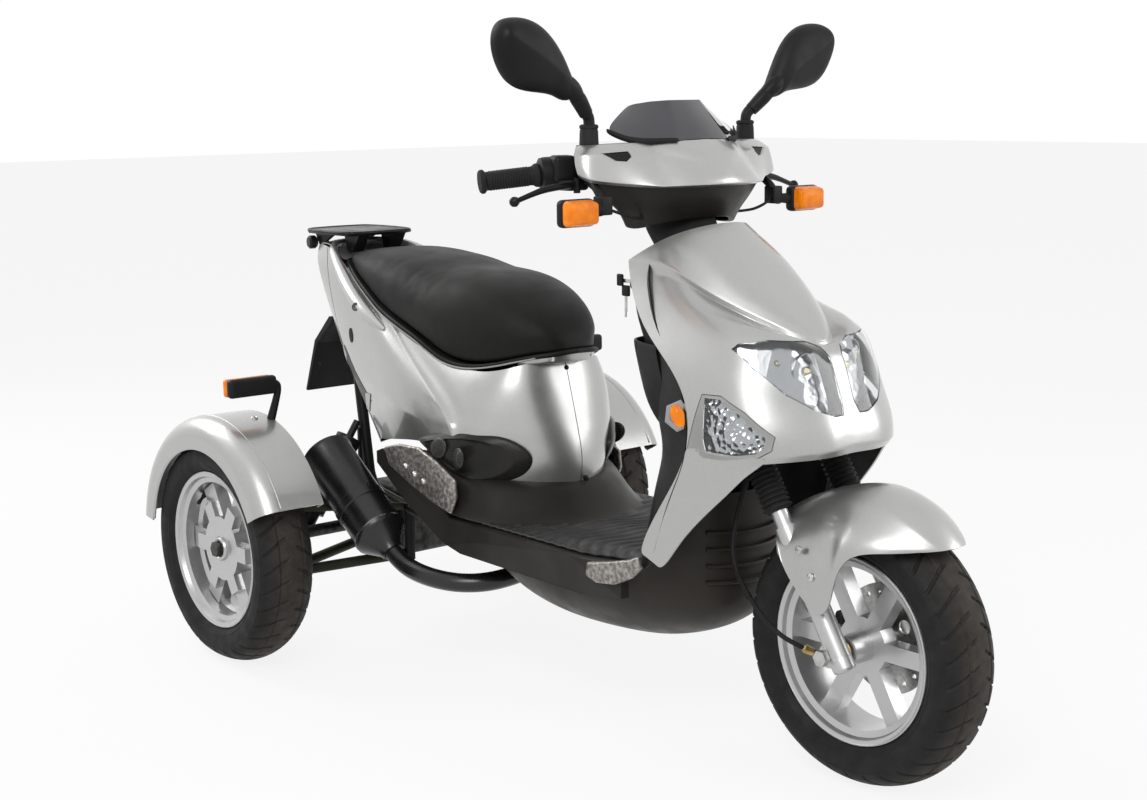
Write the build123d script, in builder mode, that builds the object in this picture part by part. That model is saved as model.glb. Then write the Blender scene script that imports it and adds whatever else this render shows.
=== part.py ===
from build123d import *
import math
import os

os.makedirs("parts", exist_ok=True)

# Three-wheeled motor scooter, in millimetres.
# +Z is up, the front faces -Y and the rider's right hand is on -X.
# The origin is on the ground, under the middle of the outer box.

# ---------------------------------------------------------------- driving dimensions
WHEELBASE = 1311
FRONT_AXLE_Y = -700
REAR_AXLE_Y = FRONT_AXLE_Y + WHEELBASE
TRACK_HALF = 451
TYRE_R = 236
RIM_R = 161
RIM_HALF_W = 47
SPOKES = 6
CASTER = 32
AXLE_LEAD = 22
LEG_LEAD = 36
LEG_X = 88
STEERER_R = 17
FRONT_AXLE_R = 8
REAR_AXLE_R = 12
FIT = 0.05
SIDES = (-1, 1)
CORNER_SLOPE = 0.9
SIN_C = math.sin(math.radians(CASTER))
COS_C = math.cos(math.radians(CASTER))

FRONT_HUB = (0, FRONT_AXLE_Y, TYRE_R)
SEAT_HINGE = (62, 642)
HINGE_PIN_R = 4

# The steering frame: its z runs up the steering axis and its -y points forward.
STEER_ORIGIN = (0, FRONT_AXLE_Y + AXLE_LEAD * COS_C, TYRE_R - AXLE_LEAD * SIN_C)
STEER = Plane(origin=STEER_ORIGIN, x_dir=(1, 0, 0), z_dir=(0, SIN_C, COS_C))


# ---------------------------------------------------------------- helpers
def finish(builder, name):
    """Label a sub-part and write its file."""
    builder.part.label = name
    export_step(builder.part, f"parts/{name}.step")
    print(name, len(builder.part.solids()), round(builder.part.volume / 1000, 1), "cm3")


def steer_point(x, ahead, up):
    """A point given across, ahead of and up along the steering axis."""
    return STEER.from_local_coords(Vector(x, -ahead, up))


def steer_plane(up):
    """A plane square to the steering axis at a height along it."""
    return Plane(origin=steer_point(0, 0, up), x_dir=(1, 0, 0), z_dir=(0, SIN_C, COS_C))


def bar(points, radius, bend=30):
    """A round bar along straight runs with tangent bends."""
    with BuildPart() as rod:
        with BuildLine() as route:
            if len(points) == 2:
                Polyline(*points)
            else:
                FilletPolyline(*points, radius=bend)
        with BuildSketch(Plane(origin=route.line @ 0, z_dir=route.line % 0)):
            Circle(radius)
        sweep(path=route.line)
    return rod.part


def polygon(points):
    """A closed polygon face."""
    with BuildSketch() as face:
        with BuildLine():
            Polyline(*points, close=True)
        make_face()
    return face.sketch


def prism(plane, points, start, end):
    """A polygon drawn on a plane and carried from one distance to another."""
    with BuildPart() as body:
        with BuildSketch(plane.offset(start)):
            add(polygon(points))
        extrude(amount=end - start)
    return body.part


def scaled(points, centre, factors):
    """An outline scaled by two factors about a point."""
    return [(centre[0] + (a - centre[0]) * factors[0], centre[1] + (b - centre[1]) * factors[1])
            for a, b in points]


def three_view(side, front, plan, centre=(0, 0, 0), factors=(1, 1, 1), corner=None):
    """The solid with these side, front and plan outlines, scaled about a point.

    The corner outline, if given, is seen along each front corner, CORNER_SLOPE to the side.
    """
    cx, cy, cz = centre
    fx, fy, fz = factors
    with BuildPart() as body:
        add(prism(Plane.YZ, scaled(side, (cy, cz), (fy, fz)), -700, 700))
        add(prism(Plane.XZ, scaled(front, (cx, cz), (fx, fz)), -1200, 1200), mode=Mode.INTERSECT)
        add(prism(Plane.XY, scaled(plan, (cx, cy), (fx, fy)), 0, 1400), mode=Mode.INTERSECT)
        if corner:
            for seen_side in SIDES:
                across = Vector(-seen_side * CORNER_SLOPE, 1, 0).normalized()
                plane = Plane(origin=(0, 0, 0), x_dir=across, z_dir=across.cross(Vector(0, 0, 1)))
                add(prism(plane, scaled(corner, (across.Y * cy, cz), (fy, fz)), -1200, 1200),
                    mode=Mode.INTERSECT)
    return body.part


def shell(side, front, plan, centre, factors, core_side=None, corner=None):
    """The three-view solid less a core, the same solid scaled about a point.

    A core with its own side outline leaves the shell open where that outline runs past it.
    """
    with BuildPart() as body:
        add(three_view(side, front, plan, corner=corner))
        add(three_view(core_side or side, front, plan, centre, factors, corner), mode=Mode.SUBTRACT)
    return body.part


def both_sides(half):
    """Close a half outline, listed from the centre line outwards and round, over x = 0."""
    return half + [(-x, other) for x, other in reversed(half) if x > 0]


def flipped(solid):
    """The mirror image of a solid on the other side of the vehicle."""
    return mirror(solid, about=Plane.YZ)


# ---------------------------------------------------------------- wheels
def make_tyre(x, y, name):
    """A pneumatic tyre, hollow, with its beads on the rim seats."""
    with BuildPart() as tyre:
        with BuildSketch(Plane(origin=(x, y, TYRE_R), x_dir=(1, 0, 0), z_dir=(0, -1, 0))):
            with BuildLine():
                Line((42.5, 152.2), (42.5, 162))
                Spline((42.5, 162), (61, 188), (55, 214))
                ThreePointArc((55, 214), (0, TYRE_R), (-55, 214))
                Spline((-55, 214), (-61, 188), (-42.5, 162))
                Polyline((-42.5, 162), (-42.5, 152.2), (-35, 147.2), (-35, 160))
                Spline((-35, 160), (-53, 188), (-47, 207))
                ThreePointArc((-47, 207), (0, TYRE_R - 9), (47, 207))
                Spline((47, 207), (53, 188), (35, 160))
                Polyline((35, 160), (35, 147.2), (42.5, 152.2))
            make_face()
        revolve(axis=Axis((x, y, TYRE_R), (1, 0, 0)))
    finish(tyre, name)


def make_front_rim():
    """A cast wheel: rim, flat spokes, a hub disc and a hub bored for the axle."""
    with BuildPart() as rim:
        with BuildSketch(Plane(origin=FRONT_HUB, x_dir=(1, 0, 0), z_dir=(0, -1, 0))):
            with BuildLine():
                Polyline((-RIM_HALF_W, RIM_R), (-RIM_HALF_W, 151), (-40, 148), (-36, 138), (36, 138),
                         (40, 148), (RIM_HALF_W, 151), (RIM_HALF_W, RIM_R), (42.7, RIM_R),
                         (42.7, 151.7), (34, 146), (-34, 146), (-42.7, 151.7), (-42.7, RIM_R),
                         close=True)
            make_face()
        revolve(axis=Axis(FRONT_HUB, (1, 0, 0)))
        with BuildSketch(Plane(origin=FRONT_HUB, x_dir=(0, 1, 0), z_dir=(1, 0, 0))):
            with PolarLocations(90, SPOKES):
                Rectangle(104, 30)
            Circle(50)
        extrude(amount=15, both=True)
        with BuildSketch(Plane(origin=FRONT_HUB, x_dir=(0, 1, 0), z_dir=(1, 0, 0))):
            Circle(26)
        extrude(amount=58, both=True)
        with BuildSketch(Plane(origin=FRONT_HUB, x_dir=(0, 1, 0), z_dir=(1, 0, 0))):
            Circle(FRONT_AXLE_R + FIT)
        extrude(amount=60, both=True, mode=Mode.SUBTRACT)
    finish(rim, "front_rim")


def make_brake_disc():
    """A drilled front disc on the left of the hub."""
    with BuildPart() as disc:
        with BuildSketch(Plane(origin=(46, FRONT_AXLE_Y, TYRE_R), x_dir=(0, 1, 0), z_dir=(1, 0, 0))):
            Circle(95)
            Circle(26.2, mode=Mode.SUBTRACT)
            with PolarLocations(80, 18):
                Circle(4, mode=Mode.SUBTRACT)
            with PolarLocations(48, 5):
                Circle(12, mode=Mode.SUBTRACT)
        extrude(amount=4)
    finish(disc, "brake_disc")


def make_rear_rim(side, name):
    """A deep rim with a raised flat hub face on short broad spokes, with windows between them."""
    hub = (side * TRACK_HALF, REAR_AXLE_Y, TYRE_R)
    outward = Plane(origin=hub, x_dir=(0, 1, 0), z_dir=(side, 0, 0))
    with BuildPart() as rim:
        with BuildSketch(Plane(origin=hub, x_dir=(side, 0, 0), z_dir=(0, -side, 0))):
            with BuildLine():
                Polyline((-RIM_HALF_W, RIM_R), (-RIM_HALF_W, 151), (-40, 148), (-36, 138), (-24, 138),
                         (-20, 130), (2, 130), (8, 138), (36, 138), (40, 148),
                         (RIM_HALF_W, 151), (RIM_HALF_W, RIM_R), (42.7, RIM_R),
                         (42.7, 151.7), (34, 146), (-34, 146), (-42.7, 151.7), (-42.7, RIM_R),
                         close=True)
            make_face()
        revolve(axis=Axis(hub, (1, 0, 0)))
        with BuildSketch(outward.offset(-10)):
            with PolarLocations(95, SPOKES):
                Rectangle(80, 46)
            Circle(66)
        extrude(amount=26)
        with BuildSketch(outward.offset(16)):
            with PolarLocations(72, SPOKES):
                Rectangle(50, 32)
            Circle(66)
        extrude(amount=14)
        with BuildSketch(outward.offset(-44)):
            Circle(40)
        extrude(amount=40)
        with BuildSketch(outward.offset(-60)):
            Circle(REAR_AXLE_R + FIT)
        extrude(amount=120, mode=Mode.SUBTRACT)
    finish(rim, name)


make_front_rim()
make_brake_disc()
make_tyre(0, FRONT_AXLE_Y, "front_tyre")
for wheel_side, wheel_name in ((-1, "right"), (1, "left")):
    make_rear_rim(wheel_side, f"rear_rim_{wheel_name}")
    make_tyre(wheel_side * TRACK_HALF, REAR_AXLE_Y, f"rear_tyre_{wheel_name}")

# ---------------------------------------------------------------- front fork and axle
CROWN_UP = 352
STEERER_TOP = 855
SLIDER_R = 19
with BuildPart() as fork:
    with BuildSketch(steer_plane(CROWN_UP)):
        with Locations((0, -LEG_LEAD / 2)):
            RectangleRounded(2 * LEG_X + 50, LEG_LEAD + 50, 20)
    extrude(amount=28)
    with BuildSketch(steer_plane(CROWN_UP)):
        Circle(STEERER_R)
    extrude(amount=STEERER_TOP - CROWN_UP)
    with BuildSketch(steer_plane(150)):
        with Locations((-LEG_X, -LEG_LEAD), (LEG_X, -LEG_LEAD)):
            Circle(15)
    extrude(amount=CROWN_UP - 140)
    with BuildSketch(steer_plane(-28)):
        with Locations((-LEG_X, -LEG_LEAD), (LEG_X, -LEG_LEAD)):
            Circle(SLIDER_R)
    extrude(amount=250)
    for fork_side in SIDES:
        with BuildSketch(Plane.YZ.offset(fork_side * LEG_X - 11)):
            with Locations((FRONT_AXLE_Y, TYRE_R)):
                Circle(20)
        extrude(amount=22)
    with BuildSketch(Plane.YZ.offset(-150)):
        with Locations((FRONT_AXLE_Y, TYRE_R)):
            Circle(FRONT_AXLE_R)
    extrude(amount=300, mode=Mode.SUBTRACT)
finish(fork, "fork")

with BuildPart() as front_axle:
    with BuildSketch(Plane.YZ.offset(-118)):
        with Locations((FRONT_AXLE_Y, TYRE_R)):
            Circle(FRONT_AXLE_R)
    extrude(amount=236)
    with BuildSketch(Plane.YZ.offset(LEG_X + 20)):
        with Locations((FRONT_AXLE_Y, TYRE_R)):
            RegularPolygon(14, 6)
    extrude(amount=12)
    with BuildSketch(Plane.YZ.offset(-LEG_X - 32)):
        with Locations((FRONT_AXLE_Y, TYRE_R)):
            RegularPolygon(14, 6)
    extrude(amount=12)
finish(front_axle, "front_axle")

BOOT_UP = 252
BOOT_RINGS = 11
BOOT_RING = 9
with BuildPart() as fork_boots:
    for boot_side in SIDES:
        boot_plane = Plane(origin=steer_point(boot_side * LEG_X, LEG_LEAD, BOOT_UP),
                           x_dir=(1, 0, 0), z_dir=(0, SIN_C, COS_C))
        for ring in range(BOOT_RINGS):
            with BuildSketch(boot_plane.offset(ring * BOOT_RING)):
                Circle(26 if ring % 2 == 0 else 22)
                Circle(15.2, mode=Mode.SUBTRACT)
            extrude(amount=BOOT_RING)
finish(fork_boots, "fork_boots")

# ---------------------------------------------------------------- front fender
fender_side = [(-897, 440), (-845, 481), (-793, 505), (-741, 515), (-700, 512), (-645, 498),
               (-590, 477), (-544, 452), (-509, 423), (-480, 380), (-468, 340), (-480, 334), (-510, 352),
               (-596, 391), (-639, 337), (-673, 307), (-710, 307), (-720, 337), (-719, 378),
               (-753, 419), (-835, 428), (-897, 426)]
fender_front = both_sides([(0, 520), (30, 520), (60, 500), (92, 468), (116, 420), (119, 380), (119, 200),
                           (0, 200)])
fender_plan = both_sides([(0, -897), (30, -893), (60, -860), (84, -800), (106, -745), (119, -700),
                          (119, -620), (92, -560), (76, -480), (74, -466), (0, -466)])
with BuildPart() as front_fender:
    add(shell(fender_side, fender_front, fender_plan, FRONT_HUB, (0.96, 0.975, 0.975)))
    with BuildSketch(Plane.YZ.offset(-66)):
        with Locations((FRONT_AXLE_Y, TYRE_R)):
            Circle(TYRE_R + 10)
    extrude(amount=132, mode=Mode.SUBTRACT)
    for fork_side in SIDES:
        with BuildSketch(steer_plane(-60)):
            with Locations((fork_side * LEG_X, -LEG_LEAD)):
                Circle(SLIDER_R + 3)
        extrude(amount=300, mode=Mode.SUBTRACT)
        with BuildSketch(steer_plane(240)):
            with Locations((fork_side * LEG_X, -LEG_LEAD)):
                Circle(29)
        extrude(amount=200, mode=Mode.SUBTRACT)
finish(front_fender, "front_fender")

# ---------------------------------------------------------------- front brake caliper
with BuildPart() as brake_caliper:
    with BuildSketch(Plane.YZ.offset(36)):
        with Locations((FRONT_AXLE_Y + 82, TYRE_R - 8)):
            RectangleRounded(46, 76, 10)
    extrude(amount=30)
    with BuildSketch(Plane.YZ.offset(41.5)):
        with Locations((FRONT_AXLE_Y, TYRE_R)):
            Circle(99)
    extrude(amount=13, mode=Mode.SUBTRACT)
    with BuildSketch(Plane.YZ.offset(62)):
        with Locations((FRONT_AXLE_Y + 66, TYRE_R + 8)):
            RectangleRounded(76, 34, 8)
    extrude(amount=8)
finish(brake_caliper, "brake_caliper")

# ---------------------------------------------------------------- speedometer drive and cable
CABLE_R = 3
with BuildPart() as speedometer_cable:
    with BuildSketch(Plane.YZ.offset(-LEG_X + 20)):
        with Locations((FRONT_AXLE_Y, TYRE_R)):
            Circle(22)
            Circle(FRONT_AXLE_R + 0.1, mode=Mode.SUBTRACT)
    extrude(amount=7)
    add(bar([(-LEG_X + 24, FRONT_AXLE_Y + 20, TYRE_R + 2), (-78, FRONT_AXLE_Y + 70, TYRE_R + 6),
             (-96, FRONT_AXLE_Y + 130, TYRE_R + 34), (-108, FRONT_AXLE_Y + 168, TYRE_R + 88)], CABLE_R, 40))
finish(speedometer_cable, "speedometer_cable")

# ---------------------------------------------------------------- handlebar, grips and levers
GRIP_R = 17
GRIP_LENGTH = 98
BAR_R = 11
CLAMP_R = 22
BAR_MID = (0, -222, 962)
BAR_INNER = (203, -150, 1008)
BAR_END = (320, -94, 996)
bar_half = [(0, BAR_MID[1], BAR_MID[2]), (90, -208, 968), (146, -178, 1004), BAR_INNER, BAR_END]
with BuildPart() as handlebar:
    for bar_side in SIDES:
        add(bar([(bar_side * x, y, z) for x, y, z in bar_half], BAR_R, 20))
    with BuildSketch(steer_plane(STEERER_TOP - 20)):
        Circle(CLAMP_R)
        Circle(STEERER_R, mode=Mode.SUBTRACT)
    extrude(amount=20)
    with BuildSketch(steer_plane(STEERER_TOP)):
        Circle(CLAMP_R)
    extrude(amount=26)
finish(handlebar, "handlebar")


def along_bar(start, end, radius, bore):
    """A sleeve on the handlebar between two distances inboard of its end."""
    direction = (Vector(*BAR_INNER) - Vector(*BAR_END)).normalized()
    with BuildPart() as sleeve:
        with BuildSketch(Plane(origin=Vector(*BAR_END) + direction * start, z_dir=direction)):
            Circle(radius)
            if bore:
                Circle(bore, mode=Mode.SUBTRACT)
        extrude(amount=end - start)
    return sleeve.part


with BuildPart() as grips:
    for sleeve in (along_bar(0, GRIP_LENGTH, GRIP_R, BAR_R), along_bar(-10, 0, GRIP_R + 4, 0)):
        add(sleeve)
        add(flipped(sleeve))
finish(grips, "grips")

LEVER_TIP = (341, -204, 967)
with BuildPart() as lever_left:
    add(along_bar(116, 126, 21, BAR_R + FIT))
    add(bar([(217, -163, 1004), (216, -206, 994), (290, -212, 986), LEVER_TIP], 5, 12))
    with Locations(LEVER_TIP):
        Sphere(9)
with BuildPart() as control_levers:
    add(lever_left.part)
    add(flipped(lever_left.part))
finish(control_levers, "control_levers")

# ---------------------------------------------------------------- handlebar cowls and windscreen
MIRROR_BASE = (190, -222, 1030)
MIRROR_KNEE = (190, -223, 1094)
MIRROR_NECK = (228, -236, 1134)
MIRROR_MID = (270, -240, 1166)
MIRROR_FRONT = -262
MIRROR_BACK = -224

cowl_side = [(-380, 986), (-378, 1000), (-352, 1036), (-316, 1063), (-200, 1063), (-150, 1058), (-130, 1030),
             (-150, 982), (-300, 980)]
cowl_front = both_sides([(0, 1068), (150, 1064), (212, 1056), (230, 1046), (235, 1022), (226, 998), (190, 980),
                         (0, 980)])
cowl_plan = both_sides([(0, -380), (60, -370), (119, -337), (155, -308), (198, -272), (229, -250), (234, -226),
                        (208, -190), (176, -150), (0, -130)])
with BuildPart() as handlebar_cowl_upper:
    add(shell(cowl_side, cowl_front, cowl_plan, (0, -270, 960), (0.97, 0.97, 0.955)))
    add(prism(Plane.YZ, [(-214, 970), (-100, 970), (-100, 1045), (-214, 1045)], -300, 300), mode=Mode.SUBTRACT)
    for mirror_side in SIDES:
        with BuildSketch(Plane.XY.offset(1000)):
            with Locations((mirror_side * MIRROR_BASE[0], MIRROR_BASE[1])):
                Circle(15)
        extrude(amount=100, mode=Mode.SUBTRACT)
finish(handlebar_cowl_upper, "handlebar_cowl_upper")

skirt_side = [(-368, 979), (-352, 945), (-330, 934), (-196, 934), (-168, 979)]
skirt_front = both_sides([(0, 979), (206, 979), (164, 959), (136, 944), (126, 934), (0, 934)])
skirt_plan = both_sides([(0, -368), (60, -357), (118, -328), (200, -262), (204, -226), (150, -175), (0, -160)])
NECK_R = 60
with BuildPart() as handlebar_cowl_lower:
    add(shell(skirt_side, skirt_front, skirt_plan, (0, -270, 905), (0.96, 0.96, 1.2)))
    with BuildSketch(steer_plane(775)):
        Circle(NECK_R)
    extrude(amount=72)
    with BuildSketch(steer_plane(774)):
        Circle(NECK_R - 4)
    extrude(amount=74, mode=Mode.SUBTRACT)
    with BuildSketch(steer_plane(STEERER_TOP - 24)):
        Circle(CLAMP_R + 2)
    extrude(amount=80, mode=Mode.SUBTRACT)
finish(handlebar_cowl_lower, "handlebar_cowl_lower")

screen_side = [(-314, 1068.6), (-264, 1132), (-204, 1134), (-190, 1068.6)]
screen_front = both_sides([(0, 1134), (40, 1132), (80, 1126), (120, 1108), (154, 1084), (154, 1068.6), (0, 1068.6)])
screen_plan = both_sides([(0, -315), (60, -305), (100, -286), (136, -251), (154, -222), (140, -185), (0, -180)])
with BuildPart() as windscreen:
    add(shell(screen_side, screen_front, screen_plan, (0, -200, 1060), (0.965, 0.975, 0.96)))
    add(prism(Plane.YZ, [(-210, 1060), (-150, 1060), (-150, 1200), (-210, 1200)], -200, 200), mode=Mode.SUBTRACT)
finish(windscreen, "windscreen")

# ---------------------------------------------------------------- mirrors and front indicators
mirror_outline = [(404, 1236), (397, 1258), (379, 1268), (354, 1271), (330, 1268), (309, 1260), (292, 1248),
                  (267, 1217), (244, 1173), (228, 1142), (256, 1128), (276, 1142), (319, 1147), (361, 1156),
                  (388, 1179), (402, 1211)]
with BuildPart() as mirrors:
    for mirror_side in SIDES:
        add(bar([(mirror_side * x, y, z) for x, y, z in
                 (MIRROR_BASE, MIRROR_KNEE, MIRROR_NECK, MIRROR_MID)], 8, 14))
        with BuildSketch(Plane.XY.offset(1064)):
            with Locations((mirror_side * MIRROR_BASE[0], MIRROR_BASE[1])):
                Circle(13)
        extrude(amount=34)
        add(prism(Plane.XZ, [(mirror_side * x, z) for x, z in mirror_outline], -MIRROR_BACK, -MIRROR_FRONT))
finish(mirrors, "mirrors")

with BuildPart() as front_indicators:
    for lamp_side in SIDES:
        with BuildSketch(Plane.XZ.offset(276)):
            with Locations((lamp_side * 275, 949)):
                RectangleRounded(86, 46, 9)
        extrude(amount=44)
        with BuildSketch(Plane.YZ.offset(168 if lamp_side > 0 else -246)):
            with Locations((-290, 950)):
                RectangleRounded(18, 14, 4)
        extrude(amount=78)
finish(front_indicators, "front_indicators")

# ---------------------------------------------------------------- frame
TUBE_R = 16
ARM_FEET = ((500, 290), (668, 430))
ARM_FOOT_X = 106
ARM_FOOT_Z = 180
HEAD_LOW = 392
HEAD_HIGH = 800
floor_rail = [(40, -420, 636), (64, -386, 540), (92, -348, 300), (92, -288, 240), (92, 40, 240),
              (92, 130, 300), (92, 250, 400), (92, 400, 600), (80, 560, 660), (60, 800, 740)]
with BuildPart() as main_frame:
    with BuildSketch(steer_plane(HEAD_LOW)):
        Circle(27)
    extrude(amount=HEAD_HIGH - HEAD_LOW)
    for rail_side in SIDES:
        add(bar([(rail_side * x, y, z) for x, y, z in floor_rail], TUBE_R, 24))
        add(bar([(rail_side * 92, 130, 270), (rail_side * 92, 300, 250), (rail_side * 92, 640, 300),
                 (rail_side * 80, 720, 705)], 12, 60))
        for foot_y, foot_top in ARM_FEET:
            add(bar([(rail_side * 92, foot_y, foot_top), (rail_side * 92, foot_y, ARM_FOOT_Z - 14)], 12))
    for y, z in ((-270, 240), (-100, 240), (20, 240), (250, 400), (456, 625), (700, 708)):
        add(bar([(-92, y, z), (92, y, z)], 11))
    add(bar([(0, -270, 240), (0, -358, 330), (0, -402, 640)], 18, 60))
    for rail_side in SIDES:
        add(bar([(0, -340, 312), (rail_side * 92, -318, 270)], 11))
    with BuildSketch(steer_plane(HEAD_LOW - 40)):
        Circle(STEERER_R + FIT)
    extrude(amount=520, mode=Mode.SUBTRACT)
finish(main_frame, "main_frame")

# ---------------------------------------------------------------- front shield, nose panel and lamps
shield_front_edge = [(-366, 921), (-401, 890), (-496, 812), (-590, 736), (-632, 690), (-662, 640),
                     (-680, 600), (-690, 566)]
shield_side = shield_front_edge + [(-677, 548), (-611, 536), (-540, 512), (-480, 470), (-430, 405),
                                   (-392, 322), (-350, 322), (-403, 369), (-428, 451), (-463, 558),
                                   (-475, 640), (-450, 680), (-376, 724), (-322, 760), (-259, 854),
                                   (-262, 884), (-330, 912)]
shield_core_side = shield_front_edge + [(-690, 480), (-400, 300), (-200, 300), (-200, 860), (-262, 884),
                                        (-330, 912)]
shield_front = both_sides([(0, 925), (60, 920), (92, 905), (135, 858), (160, 800), (172, 760), (186, 724),
                           (194, 688), (200, 652), (202, 558), (208, 449), (216, 364), (214, 318), (0, 318)])
shield_plan = both_sides([(0, -690), (60, -684), (100, -655), (130, -622), (165, -560), (190, -490),
                          (202, -450), (216, -390), (216, -250), (0, -250)])
shield_views = (shield_side, shield_front, shield_plan)
shield_corner = [(-270, 925), (-325, 904), (-381, 877), (-433, 829), (-477, 765), (-499, 732),
                 (-528, 677), (-557, 596), (-560, 566), (-546, 540), (-546, 300), (500, 300), (500, 925)]
nose_outline = [(-84, 960), (84, 960), (52, 800), (14, 744), (0, 716), (-14, 744), (-52, 800)]
light_outline = [(26, 742), (60, 752), (140, 748), (152, 725), (128, 668), (80, 622), (44, 618), (30, 660)]
corner_outline = [(-484, 648), (-516, 654), (-560, 596), (-552, 566), (-496, 556)]
light_middle = (85, 685)
corner_middle = (-520, 604)
shield_shell = shell(*shield_views, (0, -200, 500), (0.965, 0.985, 0.985), shield_core_side, shield_corner)

with BuildPart() as front_shield:
    add(shield_shell)
    add(prism(Plane.XZ, scaled(nose_outline, (0, 840), (1.02, 1.01)), 300, 900), mode=Mode.SUBTRACT)
    with BuildSketch(steer_plane(700)):
        Circle(NECK_R + 5)
    extrude(amount=200, mode=Mode.SUBTRACT)
    for cut in (prism(Plane.XZ, scaled(light_outline, light_middle, (1.02, 1.02)), 500, 900),
                prism(Plane.YZ, scaled(corner_outline, corner_middle, (1.02, 1.02)), 120, 300)):
        add(cut, mode=Mode.SUBTRACT)
        add(flipped(cut), mode=Mode.SUBTRACT)
finish(front_shield, "front_shield")

with BuildPart() as nose_panel:
    add(shield_shell)
    add(prism(Plane.XZ, nose_outline, 300, 900), mode=Mode.INTERSECT)
finish(nose_panel, "nose_panel")

with BuildPart() as headlight_right:
    add(shell(*shield_views, (0, -200, 640), (0.93, 0.93, 1), shield_core_side, shield_corner))
    add(prism(Plane.XZ, light_outline, 500, 900), mode=Mode.INTERSECT)
with BuildPart() as headlights:
    add(headlight_right.part)
    add(flipped(headlight_right.part))
finish(headlights, "headlights")

with BuildPart() as corner_lamp_left:
    add(shell(*shield_views, (0, -500, 600), (0.9, 0.9, 1), shield_core_side, shield_corner))
    add(prism(Plane.YZ, corner_outline, 120, 300), mode=Mode.INTERSECT)
with BuildPart() as corner_lamps:
    add(corner_lamp_left.part)
    add(flipped(corner_lamp_left.part))
finish(corner_lamps, "corner_lamps")

# ---------------------------------------------------------------- inner leg shield and splash panel
inner_back = [(-268, 880), (-215, 862), (-178, 820), (-172, 785), (-200, 742), (-240, 712), (-282, 612),
              (-320, 540), (-330, 470), (-318, 344)]
inner_side = inner_back + [(-340, 340), (-398, 369), (-423, 451), (-458, 558), (-470, 640), (-445, 680),
                           (-371, 724), (-317, 760), (-256, 850)]
inner_core_side = inner_back + [(-340, 300), (-600, 300), (-600, 640), (-400, 800), (-300, 880)]
inner_front = both_sides([(0, 905), (50, 900), (84, 880), (128, 836), (160, 770), (180, 724), (190, 680),
                          (194, 640), (196, 558), (202, 449), (208, 340), (0, 340)])
inner_plan = both_sides([(0, -500), (206, -500), (208, -330), (190, -290), (150, -214), (100, -180),
                         (0, -168)])
with BuildPart() as inner_leg_shield:
    add(shell(inner_side, inner_front, inner_plan, (0, -560, 600), (0.97, 0.985, 0.985), inner_core_side))
    add(prism(Plane.YZ, [(-600, 330), (-336, 330), (-336, 346), (-600, 346)], -196, 196), mode=Mode.SUBTRACT)
    with BuildSketch(steer_plane(HEAD_LOW)):
        Circle(NECK_R + 6)
    extrude(amount=600, mode=Mode.SUBTRACT)
finish(inner_leg_shield, "inner_leg_shield")

# ---------------------------------------------------------------- floor, mat and footplates
floor_top_edge = [(-316, 328), (190, 328), (215, 345), (330, 390), (430, 432), (452, 424)]
floor_side = floor_top_edge + [(452, 400), (340, 330), (220, 276), (160, 262), (-200, 258), (-316, 272)]
floor_core_side = floor_top_edge + [(452, 300), (220, 200), (-316, 200)]
floor_front = both_sides([(0, 440), (206, 440), (218, 330), (206, 262), (206, 150), (0, 150)])
floor_plan = both_sides([(0, -316), (208, -316), (218, -180), (212, 100), (204, 300), (200, 452), (0, 452)])
with BuildPart() as floorboard:
    add(shell(floor_side, floor_front, floor_plan, (0, 0, 0), (0.97, 0.97, 0.985), floor_core_side))
    add(prism(Plane.XY, [(-168, 60), (-168, 500), (168, 500), (168, 60)], 240, 460), mode=Mode.SUBTRACT)
    add(prism(Plane.XY, [(-190, -330), (-190, -300), (190, -300), (190, -330)], 240, 323), mode=Mode.SUBTRACT)
finish(floorboard, "floorboard")

MAT_T = 5
with BuildPart() as floor_mat:
    with BuildSketch(Plane.XY.offset(328)):
        with BuildLine():
            Polyline((-170, -300), (170, -300), (196, -180), (196, 180), (172, 186), (150, 40), (100, 0),
                     (-100, 0), (-150, 40), (-172, 186), (-196, 180), (-196, -180), close=True)
        make_face()
    extrude(amount=MAT_T)
finish(floor_mat, "floor_mat")

with BuildPart() as footplates:
    for plate_side in SIDES:
        with BuildSketch(Plane.YZ.offset(212 if plate_side > 0 else -218)):
            with BuildLine():
                Polyline((210, 352), (330, 396), (428, 438), (438, 452), (380, 456), (260, 410), (205, 380),
                         close=True)
            make_face()
        extrude(amount=6)
        with BuildSketch(Plane.YZ.offset(219 if plate_side > 0 else -223)):
            with BuildLine():
                Polyline((-366, 344), (-300, 335), (-240, 332), (-236, 306), (-300, 304), (-352, 312), close=True)
            make_face()
        extrude(amount=4)
finish(footplates, "footplates")

belly_side = [(-426, 455), (-430, 300), (-424, 230), (-400, 200), (-300, 160), (-160, 147), (-20, 147),
              (60, 160), (100, 200), (104, 250), (-330, 250), (-388, 300), (-404, 455)]
belly_core_side = [(-426, 470), (-430, 300), (-424, 230), (-400, 200), (-300, 160), (-160, 147), (-20, 147),
                   (60, 160), (100, 200), (104, 300), (-300, 300), (-300, 500), (-426, 500)]
belly_front = both_sides([(0, 455), (110, 455), (128, 400), (180, 256), (150, 190), (90, 152), (0, 146)])
belly_plan = both_sides([(0, -430), (80, -430), (120, -420), (160, -330), (176, -200), (172, 0), (150, 104),
                         (0, 104)])
with BuildPart() as belly_pan:
    add(shell(belly_side, belly_front, belly_plan, (0, -60, 320), (0.965, 0.98, 0.965), belly_core_side))
finish(belly_pan, "belly_pan")

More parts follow.
